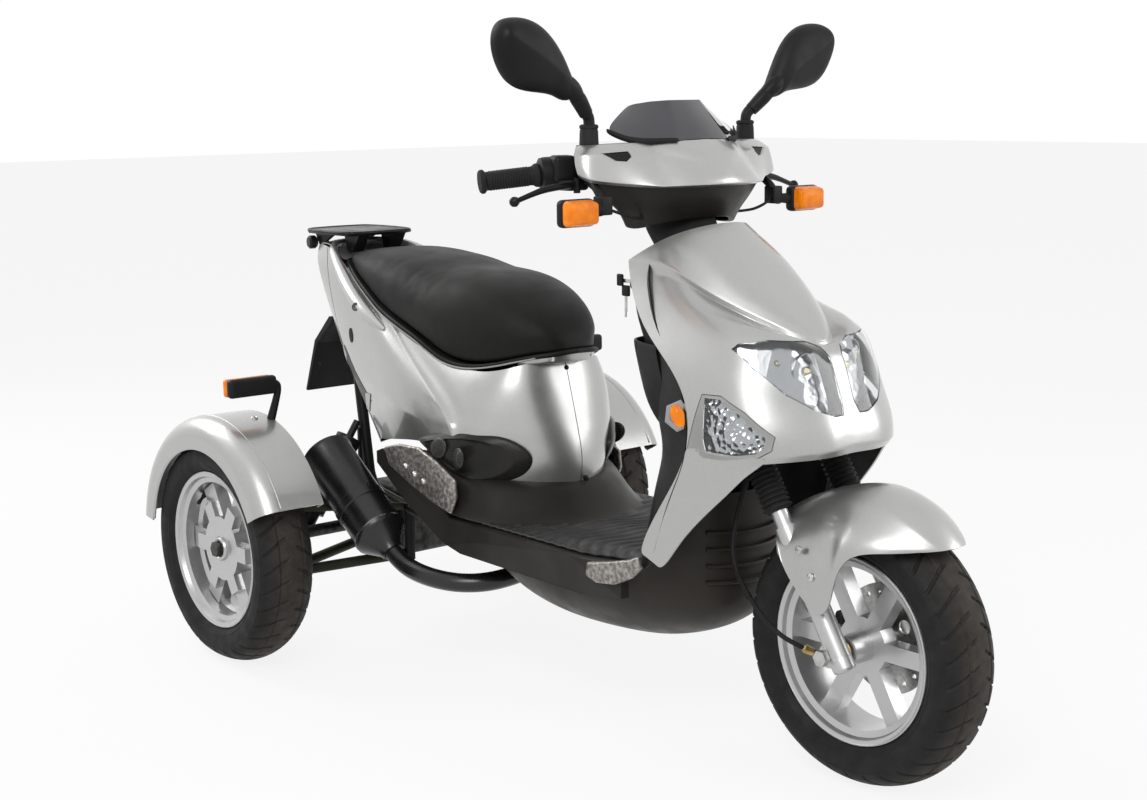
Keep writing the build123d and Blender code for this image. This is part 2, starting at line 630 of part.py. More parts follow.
# ---------------------------------------------------------------- body under the seat
body_side = [(34, 394), (18, 425), (41, 497), (76, 610), (84, 636), (158, 627), (290, 625), (427, 670),
             (499, 695), (590, 738), (700, 800), (780, 826), (868, 816), (851, 775), (827, 697), (731, 594),
             (676, 522), (612, 420), (540, 425), (476, 437), (400, 446), (330, 470), (200, 440), (100, 400)]
body_front = both_sides([(0, 835), (72, 822), (110, 780), (150, 690), (172, 620), (190, 500), (190, 440),
                         (170, 394), (0, 394)])
body_plan = both_sides([(0, 16), (60, 20), (100, 50), (140, 120), (172, 220), (190, 330), (188, 430),
                        (168, 560), (130, 690), (96, 790), (70, 862), (0, 872)])
body_shell = shell(body_side, body_front, body_plan, (0, 420, 600), (0.965, 0.985, 1.35))
TAIL_SPLIT = 640
with BuildPart() as side_panels:
    add(body_shell)
    add(prism(Plane.XY, [(-300, TAIL_SPLIT - 1), (-300, 1000), (300, 1000), (300, TAIL_SPLIT - 1)], 0, 1000),
        mode=Mode.SUBTRACT)
    add(prism(Plane.XY, [(-0.7, 0), (0.7, 0), (0.7, 300), (-0.7, 300)], 300, 1000), mode=Mode.SUBTRACT)
finish(side_panels, "side_panels")

with BuildPart() as tail_panel:
    add(body_shell)
    add(prism(Plane.XY, [(-300, 0), (-300, TAIL_SPLIT), (300, TAIL_SPLIT), (300, 0)], 0, 1000),
        mode=Mode.SUBTRACT)
finish(tail_panel, "tail_panel")

vent_outline = [(-50, 478), (-20, 438), (60, 416), (200, 436), (322, 468), (200, 506), (60, 518), (-30, 505)]
with BuildPart() as side_vents:
    with BuildSketch(Plane.YZ.offset(192)):
        add(polygon(vent_outline))
    extrude(amount=8)
    add(flipped(side_vents.part))
finish(side_vents, "side_vents")

# ---------------------------------------------------------------- seat, hinged at its front
seat_low = [(-12, 676), (60, 656), (158, 642), (290, 640), (427, 684), (499, 709), (590, 753), (690, 790)]
seat_top = [(762, 790), (720, 812), (650, 822), (560, 824), (450, 816), (380, 804), (340, 797), (300, 799),
            (200, 800), (120, 790), (60, 770), (20, 746), (-10, 712)]
seat_front = both_sides([(0, 830), (60, 828), (110, 812), (146, 780), (160, 740), (164, 690), (160, 630),
                         (0, 630)])
seat_plan = both_sides([(0, -12), (50, -8), (85, 8), (112, 40), (136, 90), (152, 158), (162, 260), (164, 400),
                        (150, 540), (122, 650), (90, 722), (50, 756), (0, 762)])
BASE_T = 10
seat_base_top = [(y, z + BASE_T) for y, z in reversed(seat_low)]
with BuildPart() as seat_cushion:
    add(three_view([(y, z + BASE_T + 0.2) for y, z in seat_low] + seat_top, seat_front, seat_plan))
finish(seat_cushion, "seat_cushion")

with BuildPart() as seat_base:
    add(three_view(seat_low + seat_base_top, seat_front, seat_plan, (0, 300, 700), (0.95, 1, 1)))
    for lug in SIDES:
        with BuildSketch(Plane.YZ.offset(lug * 40 - 4)):
            with Locations(SEAT_HINGE):
                Circle(9)
            with Locations((SEAT_HINGE[0], SEAT_HINGE[1] + 10)):
                Rectangle(18, 20)
        extrude(amount=8)
    with BuildSketch(Plane.YZ.offset(-60)):
        with Locations(SEAT_HINGE):
            Circle(HINGE_PIN_R + FIT)
    extrude(amount=120, mode=Mode.SUBTRACT)
finish(seat_base, "seat_base")

with BuildPart() as seat_hinge_bracket:
    with BuildSketch(Plane.YZ.offset(-56)):
        with Locations(SEAT_HINGE):
            Circle(HINGE_PIN_R)
    extrude(amount=112)
    for lug in SIDES:
        with BuildSketch(Plane.YZ.offset(lug * 50 - 3)):
            with BuildLine():
                Polyline((56, 636), (56, 645), (60, 648), (74, 648), (112, 630), (116, 560), (104, 560), (101, 622),
                         (88, 638), (70, 636), close=True)
            make_face()
        extrude(amount=6)
finish(seat_hinge_bracket, "seat_hinge_bracket")

with BuildPart() as storage_bucket:
    with BuildSketch(Plane.XY.offset(440)):
        with Locations((0, 274)):
            RectangleRounded(140, 230, 40)
    with BuildSketch(Plane.XY.offset(620)):
        with Locations((0, 274)):
            RectangleRounded(140, 250, 40)
    loft()
    with BuildSketch(Plane.XY.offset(444)):
        with Locations((0, 274)):
            RectangleRounded(132, 222, 36)
    with BuildSketch(Plane.XY.offset(621)):
        with Locations((0, 274)):
            RectangleRounded(132, 242, 36)
    loft(mode=Mode.SUBTRACT)
finish(storage_bucket, "storage_bucket")

# ---------------------------------------------------------------- tail fittings
with BuildPart() as rear_rack:
    with BuildSketch(Plane.XY.offset(846)):
        with Locations((0, 800)):
            RectangleRounded(176, 200, 24)
            with GridLocations(40, 90, 3, 1):
                SlotOverall(90, 14, rotation=90, mode=Mode.SUBTRACT)
            with GridLocations(120, 130, 2, 2):
                Circle(4.2, mode=Mode.SUBTRACT)
    extrude(amount=8)
    for leg_side in SIDES:
        add(bar([(leg_side * 50, 740, 752), (leg_side * 50, 790, 810), (leg_side * 50, 800, 847)], 9, 12))
finish(rear_rack, "rear_rack")

with BuildPart() as grab_handles:
    for grip_side in SIDES:
        add(bar([(grip_side * x, y, z) for x, y, z in
                 ((170, 560, 726), (178, 640, 770), (150, 740, 812), (104, 800, 822))], 11, 30))
finish(grab_handles, "grab_handles")

with BuildPart() as tail_light:
    add(prism(Plane.YZ, [(872, 806), (890, 800), (870, 720), (836, 700), (852, 775)], -48, 48))
finish(tail_light, "tail_light")

with BuildPart() as rear_mudguard:
    add(prism(Plane.YZ, [(800, 660), (816, 660), (880, 600), (925, 482), (919, 480), (872, 594), (806, 650)],
              -75, 75))
    with BuildSketch(Plane(origin=(0, 900, 545), x_dir=(1, 0, 0), z_dir=(0, 0.934, 0.357))):
        with GridLocations(110, 0, 2, 1):
            Circle(3.3)
    extrude(amount=40, both=True, mode=Mode.SUBTRACT)
finish(rear_mudguard, "rear_mudguard")

# ---------------------------------------------------------------- engine and exhaust
with BuildPart() as engine:
    with Locations((0, 385, 322)):
        Box(140, 290, 130)
    fillet(engine.edges(), radius=12)
finish(engine, "engine")

with BuildPart() as exhaust:
    muffler = Plane(origin=(-232, 398, 262), z_dir=(0, 200, 140))
    with BuildSketch(muffler):
        Circle(43)
    extrude(amount=244)
    with BuildSketch(muffler):
        Circle(43)
    with BuildSketch(muffler.offset(-52)):
        Circle(18)
    loft()
    add(bar([(-232, 372, 243.8), (-232, 330, 214), (-222, 240, 196), (-180, 160, 194), (-90, 140, 200),
             (-36, 150, 214), (-36, 190, 290), (-36, 239.5, 290)], 17, 24))
finish(exhaust, "exhaust")

# ---------------------------------------------------------------- rear axle, knuckles and suspension
KNUCKLE_X = 364
with BuildPart() as drive_axle:
    with Locations((0, REAR_AXLE_Y, TYRE_R)):
        Box(150, 150, 150)
    fillet(drive_axle.edges(), radius=20)
    with BuildSketch(Plane.YZ.offset(-KNUCKLE_X)):
        with Locations((REAR_AXLE_Y, TYRE_R)):
            Circle(13)
    extrude(amount=2 * KNUCKLE_X)
    for boot_x in (-355, -110, 75, 320):
        with BuildSketch(Plane.YZ.offset(boot_x)):
            with Locations((REAR_AXLE_Y, TYRE_R)):
                Circle(32)
        extrude(amount=35)
finish(drive_axle, "drive_axle")

with BuildPart() as rear_knuckles:
    for knuckle_side in SIDES:
        plane = Plane(origin=(knuckle_side * KNUCKLE_X, REAR_AXLE_Y, TYRE_R),
                      x_dir=(0, 1, 0), z_dir=(knuckle_side, 0, 0))
        with BuildSketch(plane):
            Circle(44)
            Rectangle(36, 190)
        extrude(amount=20)
        with BuildSketch(plane.offset(20)):
            Circle(84)
        extrude(amount=14)
        with BuildSketch(plane):
            Circle(REAR_AXLE_R)
        extrude(amount=128)
        with BuildSketch(plane.offset(TRACK_HALF - KNUCKLE_X + 30.5)):
            RegularPolygon(16, 6)
        extrude(amount=16)
finish(rear_knuckles, "rear_knuckles")

with BuildPart() as suspension_arms:
    for arm_side in SIDES:
        for foot_y, _ in ARM_FEET:
            add(bar([(arm_side * ARM_FOOT_X, foot_y, ARM_FOOT_Z), (arm_side * 358, REAR_AXLE_Y, 158)], 11))
        add(bar([(arm_side * ARM_FOOT_X, 500, 284), (arm_side * 358, REAR_AXLE_Y, 300)], 8))
finish(suspension_arms, "suspension_arms")

with BuildPart() as shock_absorbers:
    for shock_side in SIDES:
        start = Vector(shock_side * 300, 655, 176)
        end = Vector(shock_side * 112, 655, 450)
        direction = (end - start).normalized()
        for offset_along, length, radius in ((0, 330, 8), (36, 130, 20), (110, 180, 28)):
            with BuildSketch(Plane(origin=start + direction * offset_along, z_dir=direction)):
                Circle(radius)
            extrude(amount=length)
finish(shock_absorbers, "shock_absorbers")

# ---------------------------------------------------------------- rear fenders and indicators
FENDER_FROM = 8
FENDER_TO = 154
with BuildPart() as rear_fenders:
    for fender_side_x in SIDES:
        hub = (fender_side_x * TRACK_HALF, REAR_AXLE_Y, TYRE_R)
        lift = math.radians(FENDER_FROM)
        with BuildSketch(Plane(origin=hub, x_dir=(fender_side_x, 0, 0),
                               z_dir=(0, -fender_side_x * math.sin(lift), fender_side_x * math.cos(lift)))):
            with BuildLine():
                Polyline((-66, 250), (-66, 274), (36, 275))
                ThreePointArc((36, 275), (63, 263), (74, 236))
                Polyline((74, 236), (74, 212), (71, 212), (71, 236))
                ThreePointArc((71, 236), (61, 261), (36, 272))
                Polyline((36, 272), (-63, 271), (-63, 250), (-66, 250))
            make_face()
        revolve(axis=Axis(hub, (1, 0, 0)), revolution_arc=FENDER_TO - FENDER_FROM)
finish(rear_fenders, "rear_fenders")

with BuildPart() as rear_indicators:
    for lamp_side in SIDES:
        add(bar([(lamp_side * 392, 550, 506), (lamp_side * 392, 545, 572)], 8))
        with BuildSketch(Plane.XZ.offset(-530)):
            with Locations((lamp_side * 434, 574)):
                RectangleRounded(110, 38, 9)
        extrude(amount=-34)
finish(rear_indicators, "rear_indicators")
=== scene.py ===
import math

import bmesh
import bpy
from mathutils import Matrix, Vector


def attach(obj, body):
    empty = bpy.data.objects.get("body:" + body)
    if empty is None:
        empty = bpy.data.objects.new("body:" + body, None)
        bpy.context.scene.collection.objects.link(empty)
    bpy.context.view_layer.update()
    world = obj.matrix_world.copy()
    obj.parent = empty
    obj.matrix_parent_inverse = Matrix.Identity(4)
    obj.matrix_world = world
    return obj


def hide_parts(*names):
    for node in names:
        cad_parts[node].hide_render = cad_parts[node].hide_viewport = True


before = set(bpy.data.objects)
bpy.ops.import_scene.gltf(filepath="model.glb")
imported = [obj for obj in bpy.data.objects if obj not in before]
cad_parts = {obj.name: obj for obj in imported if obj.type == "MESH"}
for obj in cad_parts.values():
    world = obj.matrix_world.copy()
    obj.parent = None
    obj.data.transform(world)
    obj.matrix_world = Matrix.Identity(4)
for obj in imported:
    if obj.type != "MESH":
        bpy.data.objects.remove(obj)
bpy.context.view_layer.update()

# Camera: a 56 mm lens at chest height, off the right front corner.
# It looks back and slightly down at the scooter.
camera_yaw, camera_pitch, camera_roll = map(math.radians, (39.84, 9.72, -0.74))
ahead = Vector((math.sin(camera_yaw) * math.cos(camera_pitch),
                math.cos(camera_yaw) * math.cos(camera_pitch), -math.sin(camera_pitch)))
right = Vector((math.cos(camera_yaw), -math.sin(camera_yaw), 0))
up = right.cross(ahead)
right, up = (math.cos(camera_roll) * right + math.sin(camera_roll) * up,
             math.cos(camera_roll) * up - math.sin(camera_roll) * right)
camera_turn = Matrix((right, up, -ahead)).transposed().to_euler()
bpy.ops.object.camera_add(location=(-2.2109, -2.5936, 1.1458), rotation=camera_turn)
camera = bpy.context.object
camera.data.lens = 56.3
camera.data.sensor_width = 36
bpy.context.scene.camera = camera
bpy.context.scene.view_settings.view_transform = "Standard"


# Studio: a pale floor that fades into a white surround, a broad soft key lamp from the upper right,
# a weaker fill from the left front and a strip above the tail.
def new_material(name):
    """A material with a Principled BSDF; returns it with its nodes, links and shader."""
    material = bpy.data.materials.new(name)
    material.use_nodes = True
    nodes, links = material.node_tree.nodes, material.node_tree.links
    return material, nodes, links, nodes["Principled BSDF"]


bpy.ops.mesh.primitive_plane_add(size=60)
floor = bpy.context.object
floor.name = "studio_floor"
floor_paint, nodes, links, shader = new_material("studio_floor_paint")
shader.inputs["Base Color"].default_value = (0.9, 0.9, 0.9, 1)
shader.inputs["Roughness"].default_value = 0.9
shader.inputs["Specular IOR Level"].default_value = 0.0
seen = nodes.new("ShaderNodeLightPath")
either = nodes.new("ShaderNodeMath")
either.operation = "MAXIMUM"
share = nodes.new("ShaderNodeMath")
share.operation = "MULTIPLY"
share.inputs[1].default_value = 0.86
glow = nodes.new("ShaderNodeEmission")
glow.inputs["Color"].default_value = (1, 1, 1, 1)
glow.inputs["Strength"].default_value = 1.0
mixed = nodes.new("ShaderNodeMixShader")
links.new(seen.outputs["Is Camera Ray"], either.inputs[0])
links.new(seen.outputs["Is Glossy Ray"], either.inputs[1])
links.new(either.outputs[0], share.inputs[0])
links.new(share.outputs[0], mixed.inputs[0])
links.new(shader.outputs[0], mixed.inputs[1])
links.new(glow.outputs[0], mixed.inputs[2])
links.new(mixed.outputs[0], nodes["Material Output"].inputs["Surface"])
floor.data.materials.append(floor_paint)

surround = bpy.data.worlds.new("studio_surround")
bpy.context.scene.world = surround
surround.use_nodes = True
nodes, links = surround.node_tree.nodes, surround.node_tree.links
seen = nodes.new("ShaderNodeLightPath")
either = nodes.new("ShaderNodeMath")
either.operation = "MAXIMUM"
plain = nodes["Background"]
plain.inputs["Color"].default_value = (1, 1, 1, 1)
plain.inputs["Strength"].default_value = 0.42
white = nodes.new("ShaderNodeBackground")
white.inputs["Color"].default_value = (1, 1, 1, 1)
white.inputs["Strength"].default_value = 1.0
mixed = nodes.new("ShaderNodeMixShader")
clear = nodes.new("ShaderNodeMath")
clear.operation = "MAXIMUM"
links.new(seen.outputs["Is Camera Ray"], either.inputs[0])
links.new(seen.outputs["Is Transmission Ray"], either.inputs[1])
links.new(either.outputs[0], clear.inputs[0])
links.new(seen.outputs["Is Glossy Ray"], clear.inputs[1])
links.new(clear.outputs[0], mixed.inputs[0])
links.new(plain.outputs[0], mixed.inputs[1])
links.new(white.outputs[0], mixed.inputs[2])
links.new(mixed.outputs[0], nodes["World Output"].inputs["Surface"])

for name, place, aim, size, power in (
        ("key_lamp", (-3.2, -2.6, 3.6), (0, -0.1, 0.5), 2.4, 120),
        ("fill_lamp", (2.8, -3.0, 2.0), (0, -0.2, 0.6), 2.0, 40),
        ("tail_lamp", (-1.2, 3.2, 2.8), (0, 0.3, 0.6), 2.4, 60)):
    bpy.ops.object.light_add(type="AREA", location=place)
    lamp = bpy.context.object
    lamp.name = name
    lamp.data.size = size
    lamp.data.energy = power
    lamp.rotation_euler = (Vector(aim) - Vector(place)).to_track_quat("-Z", "Y").to_euler()


# Front shield: one deep moulding from the neck to the floor, in silver metallic lacquer.
# Its hood falls to a sharp beak between the lamps and its two legs run back to the footboard.
def new_group(name, inputs, outputs):
    """A shader node group with float sockets named in inputs (with defaults) and outputs."""
    tree = bpy.data.node_groups.new(name, "ShaderNodeTree")
    for socket, value in inputs:
        made = tree.interface.new_socket(socket, in_out="INPUT", socket_type="NodeSocketFloat")
        made.default_value = value
    for socket, kind in outputs:
        tree.interface.new_socket(socket, in_out="OUTPUT", socket_type=kind)
    return tree, tree.nodes, tree.links, tree.nodes.new("NodeGroupInput"), tree.nodes.new("NodeGroupOutput")


def object_noise(nodes, links, scale, detail, source=None):
    """A noise texture on object coordinates, in metres."""
    place = nodes.new("ShaderNodeTexCoord")
    noise = nodes.new("ShaderNodeTexNoise")
    noise.inputs["Detail"].default_value = detail
    links.new(place.outputs["Object"], noise.inputs["Vector"])
    if source is None:
        noise.inputs["Scale"].default_value = scale
    else:
        links.new(source, noise.inputs["Scale"])
    return noise


wear_group, nodes, links, entry, leave = new_group(
    "light_wear", (("Scale", 14.0), ("Low", 0.3), ("High", 0.5)), (("Roughness", "NodeSocketFloat"),
                                                                 ("Patches", "NodeSocketFloat")))
noise = object_noise(nodes, links, 0, 6, entry.outputs["Scale"])
spread = nodes.new("ShaderNodeMapRange")
links.new(noise.outputs["Fac"], spread.inputs["Value"])
spread.inputs["From Min"].default_value = 0.3
spread.inputs["From Max"].default_value = 0.7
links.new(entry.outputs["Low"], spread.inputs["To Min"])
links.new(entry.outputs["High"], spread.inputs["To Max"])
links.new(spread.outputs["Result"], leave.inputs["Roughness"])
links.new(noise.outputs["Fac"], leave.inputs["Patches"])


def add_wear(nodes, links, shader, scale, low, high):
    """Uneven gloss from the wear group; returns the group node."""
    wear = nodes.new("ShaderNodeGroup")
    wear.node_tree = wear_group
    wear.inputs["Scale"].default_value = scale
    wear.inputs["Low"].default_value = low
    wear.inputs["High"].default_value = high
    links.new(wear.outputs["Roughness"], shader.inputs["Roughness"])
    return wear


def add_tones(nodes, links, shader, dark, light, scale, detail=4, low=0.35, high=0.65):
    """Base colour that drifts between two tones with object-space noise."""
    noise = object_noise(nodes, links, scale, detail)
    ramp = nodes.new("ShaderNodeValToRGB")
    ramp.color_ramp.elements[0].position = low
    ramp.color_ramp.elements[0].color = (*dark, 1)
    ramp.color_ramp.elements[1].position = high
    ramp.color_ramp.elements[1].color = (*light, 1)
    links.new(noise.outputs["Fac"], ramp.inputs["Fac"])
    links.new(ramp.outputs["Color"], shader.inputs["Base Color"])


def metallic_paint(name, dark, light, flake=2600):
    """Metal-flake lacquer: fine bright flakes under a clear coat."""
    material, nodes, links, shader = new_material(name)
    add_tones(nodes, links, shader, dark, light, flake, 2, 0.42, 0.62)
    shader.inputs["Metallic"].default_value = 0.8
    shader.inputs["Coat Weight"].default_value = 0.7
    shader.inputs["Coat Roughness"].default_value = 0.08
    add_wear(nodes, links, shader, 30, 0.30, 0.38)
    return material


silver_paint = metallic_paint("silver_lacquer", (0.35, 0.35, 0.345), (0.55, 0.55, 0.54))


def clear_selection():
    """Leaves object mode with nothing selected."""
    if bpy.context.object and bpy.context.object.mode != "OBJECT":
        bpy.ops.object.mode_set(mode="OBJECT")
    bpy.ops.object.select_all(action="DESELECT")


def pick(piece):
    """Selects one piece and makes it active."""
    clear_selection()
    piece.select_set(True)
    bpy.context.view_layer.objects.active = piece


def dress(piece, material, body, *nodes_replaced, slot=None):
    """Gives a piece its material, its body and the CAD nodes that it stands for."""
    piece.data.materials.clear()
    piece.data.materials.append(material)
    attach(piece, body)
    if nodes_replaced:
        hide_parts(*nodes_replaced)


def settle(piece, angle=35):
    """Merges doubles, turns the faces outwards and smooths all but the sharp edges."""
    pick(piece)
    bpy.ops.object.mode_set(mode="EDIT")
    bpy.ops.mesh.select_all(action="SELECT")
    bpy.ops.mesh.remove_doubles(threshold=0.00005)
    bpy.ops.mesh.normals_make_consistent(inside=False)
    bpy.ops.object.mode_set(mode="OBJECT")
    bpy.ops.object.shade_smooth_by_angle(angle=math.radians(angle))


def modify(piece, kind, **settings):
    """Adds one modifier, sets it and applies it."""
    pick(piece)
    modifier = piece.modifiers.new(kind.lower(), kind)
    for setting, value in settings.items():
        setattr(modifier, setting, value)
    bpy.ops.object.modifier_apply(modifier=modifier.name)


def lay_skin(name, rows, inside, sharp_rows=(), sharp_columns=(), smooth=3, mirrored=True, sharpness=0.8):
    """A grid laid over rows of stations in millimetres, mirrored over x = 0 and subdivided.

    Faces turn away from the inside point. Sharp rows and columns keep a soft ridge.
    """
    across, down = len(rows[0]), len(rows)
    clear_selection()
    bpy.ops.mesh.primitive_grid_add(x_subdivisions=across - 1, y_subdivisions=down - 1, size=1)
    piece = bpy.context.object
    piece.name = name
    grid = piece.data
    stations = [Vector(station) / 1000 for row in rows for station in row]
    for vertex, station in zip(grid.vertices, stations):
        vertex.co = station
    shape = bmesh.new()
    shape.from_mesh(grid)
    shape.verts.ensure_lookup_table()
    crease = shape.edges.layers.float.new("crease_edge")
    for edge in shape.edges:
        one, two = sorted(vertex.index for vertex in edge.verts)
        row, column = divmod(one, across)
        if two == one + 1 and row in sharp_rows or two == one + across and column in sharp_columns:
            edge[crease] = sharpness
    middle = Vector(inside) / 1000
    outward = sum(face.normal.dot(face.calc_center_median() - middle) * face.calc_area() for face in shape.faces)
    if outward < 0:
        bmesh.ops.reverse_faces(shape, faces=shape.faces)
    bmesh.ops.remove_doubles(shape, verts=shape.verts, dist=0.0001)
    shape.to_mesh(grid)
    shape.free()
    if mirrored:
        modify(piece, "MIRROR", use_axis=(True, False, False), merge_threshold=0.0005)
    modify(piece, "SUBSURF", levels=smooth, render_levels=smooth)
    return piece


def thicken(piece, wall, angle=35):
    """Gives a skin its wall, inwards, and settles it."""
    modify(piece, "SOLIDIFY", thickness=wall / 1000, offset=-1, use_even_offset=False)
    settle(piece, angle)


def copy_piece(piece, name):
    """A copy with its own mesh."""
    twin = piece.copy()
    twin.data = piece.data.copy()
    twin.name = name
    bpy.context.collection.objects.link(twin)
    return twin


def cutter(name, outline, axis, start, end, grow=0.0):
    """A closed prism from an outline in millimetres: (x, z) along y, (y, z) along x or (x, y) along z."""
    middle = [sum(point[i] for point in outline) / len(outline) for i in (0, 1)]
    points = []
    for a, b in outline:
        away = Vector((a - middle[0], b - middle[1]))
        points.append(Vector((a, b)) + away.normalized() * grow)
    place = {"x": lambda a, b, d: (d, a, b), "y": lambda a, b, d: (a, d, b), "z": lambda a, b, d: (a, b, d)}[axis]
    shape = bmesh.new()
    base = shape.faces.new([shape.verts.new(Vector(place(a, b, start)) / 1000) for a, b in points])
    pulled = bmesh.ops.extrude_face_region(shape, geom=[base])
    far = Vector(place(0, 0, end - start)) / 1000
    bmesh.ops.translate(shape, vec=far, verts=[v for v in pulled["geom"] if isinstance(v, bmesh.types.BMVert)])
    bmesh.ops.recalc_face_normals(shape, faces=shape.faces)
    mesh = bpy.data.meshes.new(name)
    shape.to_mesh(mesh)
    shape.free()
    tool = bpy.data.objects.new(name, mesh)
    bpy.context.collection.objects.link(tool)
    return tool


def cut(piece, tool, operation="DIFFERENCE", keep_tool=False):
    """Applies a boolean with a tool, which is then thrown away unless it is kept."""
    modify(piece, "BOOLEAN", object=tool, operation=operation, solver="EXACT")
    if not keep_tool:
        bpy.data.objects.remove(tool)


shield_inside = (0, -200, 600)
shield_rows = [
    # from the rim at the back to the beak: centre line of the hood
    [(0, -371, 921), (0, -388, 906), (0, -416, 880), (0, -466, 836), (0, -517, 798), (0, -560, 767), (0, -586, 745),
     (0, -598, 731)],
    [(52, -368, 919), (56, -384, 907), (50, -415, 880), (42, -466, 836), (33, -517, 798), (25, -560, 768),
     (8, -588, 744), (0, -598, 731)],
    [(106, -322, 900), (110, -336, 888), (96, -402, 874), (84, -461, 834), (66, -511, 798), (40, -557, 769),
     (15, -590, 741), (0, -598, 731)],
    # the edge of the hood
    [(137, -262, 858), (131, -306, 859), (124, -353, 854), (120, -427, 819), (99, -481, 792), (64, -545, 763),
     (24, -589, 738), (0, -598, 730)],
    # the valley under it
    [(139, -266, 842), (131, -316, 839), (119, -370, 832), (109, -434, 802), (90, -489, 778), (62, -550, 750),
     (27, -592, 731), (0, -599, 727)],
    # the brow over the lamps
    [(150, -286, 805), (146, -336, 806), (140, -396, 796), (134, -470, 774), (122, -530, 766), (93, -573, 756),
     (53, -603, 740), (0, -606, 722)],
    [(167, -326, 756), (163, -380, 754), (160, -440, 750), (157, -500, 744), (147, -553, 736), (111, -598, 743),
     (54, -624, 733), (0, -618, 707)],
    [(184, -392, 714), (180, -440, 712), (175, -495, 706), (168, -543, 700), (152, -578, 694), (112, -614, 692),
     (54, -640, 685), (0, -633, 676)],
    [(193, -447, 674), (190, -482, 670), (185, -522, 664), (176, -560, 656), (155, -592, 645), (114, -628, 640),
     (55, -656, 634), (0, -648, 634)],
    [(199, -480, 620), (196, -506, 615), (190, -541, 608), (176, -588, 600), (156, -616, 597), (118, -648, 596),
     (58, -674, 598), (0, -662, 600)],
    [(200, -474, 566), (197, -508, 563), (190, -546, 561), (177, -588, 560), (156, -616, 560), (122, -646, 564),
     (62, -679, 566), (0, -668, 572)],
    [(200, -472, 556), (197, -508, 551), (190, -546, 548), (176, -584, 547), (155, -609, 549), (121, -638, 552),
     (61, -668, 554), (0, -660, 556)],
]
shield_leg_rows = [
    shield_rows[-2][:5], shield_rows[-1][:5],
    [(203, -459, 522), (199, -490, 521), (193, -522, 521), (184, -553, 523), (172, -580, 526)],
    [(205, -440, 490), (202, -466, 490), (197, -496, 491), (190, -526, 494), (182, -556, 497)],
    [(208, -412, 448), (207, -430, 446), (205, -452, 445), (202, -476, 444), (198, -500, 443)],
    [(212, -386, 404), (211, -400, 402), (210, -418, 400), (208, -438, 397), (206, -456, 394)],
    [(214, -372, 368), (213, -384, 364), (212, -398, 358), (211, -412, 352), (210, -424, 346)],
]
shield_skin = lay_skin("front_shield_shell", shield_rows, shield_inside, sharp_rows=(3, 4, 5, 10), sharpness=0.85)
thicken(shield_skin, 3.5)
leg_skin = lay_skin("front_shield_legs", shield_leg_rows, (0, -450, 450), smooth=2)
thicken(leg_skin, 3.5)
dress(leg_skin, silver_paint, "chassis", slot="silver_paint")

lamp_outline = [(152, 729), (143, 738), (112, 744), (52, 739), (24, 728), (16, 714), (14, 640), (20, 620),
                (40, 620), (78, 634), (116, 660), (146, 700)]
corner_outline = [(-500, 655), (-536, 655), (-578, 632), (-622, 594), (-620, 572), (-604, 560), (-548, 551),
                  (-480, 551), (-474, 556)]


def mirrored_outline(outline):
    """The same outline on the other side."""
    return [(-a, b) for a, b in reversed(outline)]


shield_body = copy_piece(shield_skin, "front_shield_body")
for side in (1, -1):
    cut(shield_body, cutter("lamp_cut", lamp_outline if side > 0 else mirrored_outline(lamp_outline), "y", -900, -480,
                            1.2))
    cut(shield_body, cutter("corner_cut", corner_outline, "x", 120 * side, 300 * side, 1.2))
settle(shield_body)
dress(shield_body, silver_paint, "chassis", "front_shield", "nose_panel", slot="silver_paint")


# Headlamps: a clear lens that follows the shield, over a bright reflector tray with two bowls and a bulb each.
# The lens is cut from the shield's own surface, and the tray stands 34 mm behind it.
def glass(name, colour, roughness=0.02, ior=1.45):
    """Clear or tinted glass or plastic lens."""
    material, nodes, links, shader = new_material(name)
    shader.inputs["Base Color"].default_value = (*colour, 1)
    shader.inputs["Transmission Weight"].default_value = 1.0
    shader.inputs["Roughness"].default_value = roughness
    shader.inputs["IOR"].default_value = ior
    return material


def facetted_chrome(name, scale, depth, roughness=0.12):
    """Bright reflector with pressed facets."""
    material, nodes, links, shader = new_material(name)
    shader.inputs["Base Color"].default_value = (0.42, 0.43, 0.44, 1)
    shader.inputs["Metallic"].default_value = 1.0
    shader.inputs["Roughness"].default_value = roughness
    place = nodes.new("ShaderNodeTexCoord")
    cells = nodes.new("ShaderNodeTexVoronoi")
    cells.feature = "F1"
    cells.inputs["Scale"].default_value = scale
    links.new(place.outputs["Object"], cells.inputs["Vector"])
    bump = nodes.new("ShaderNodeBump")
    bump.inputs["Strength"].default_value = 0.9
    bump.inputs["Distance"].default_value = depth
    links.new(cells.outputs["Distance"], bump.inputs["Height"])
    links.new(bump.outputs["Normal"], shader.inputs["Normal"])
    return material


clear_lens = glass("clear_lens", (0.96, 0.97, 0.98))
lamp_chrome = facetted_chrome("lamp_reflector", 60, 0.0022, 0.22)
crystal_chrome = facetted_chrome("crystal_reflector", 95, 0.006, 0.1)
bulb_glass = glass("bulb_glass", (0.95, 0.9, 0.72), 0.1)


def half_ball(name, centre, radii, keep_back=True):
    """A ball cut in half square to y, in millimetres, squashed to its three radii."""
    clear_selection()
    bpy.ops.mesh.primitive_uv_sphere_add(segments=32, ring_count=16, radius=1)
    piece = bpy.context.object
    piece.name = name
    piece.data.transform(Matrix.Translation(Vector(centre) / 1000) @ Matrix.Diagonal((*[r / 1000 for r in radii], 1)))
    bpy.ops.object.mode_set(mode="EDIT")
    bpy.ops.mesh.select_all(action="SELECT")
    bpy.ops.mesh.bisect(plane_co=Vector(centre) / 1000, plane_no=(0, 1, 0), clear_inner=keep_back,
                        clear_outer=not keep_back)
    bpy.ops.object.mode_set(mode="OBJECT")
    return piece


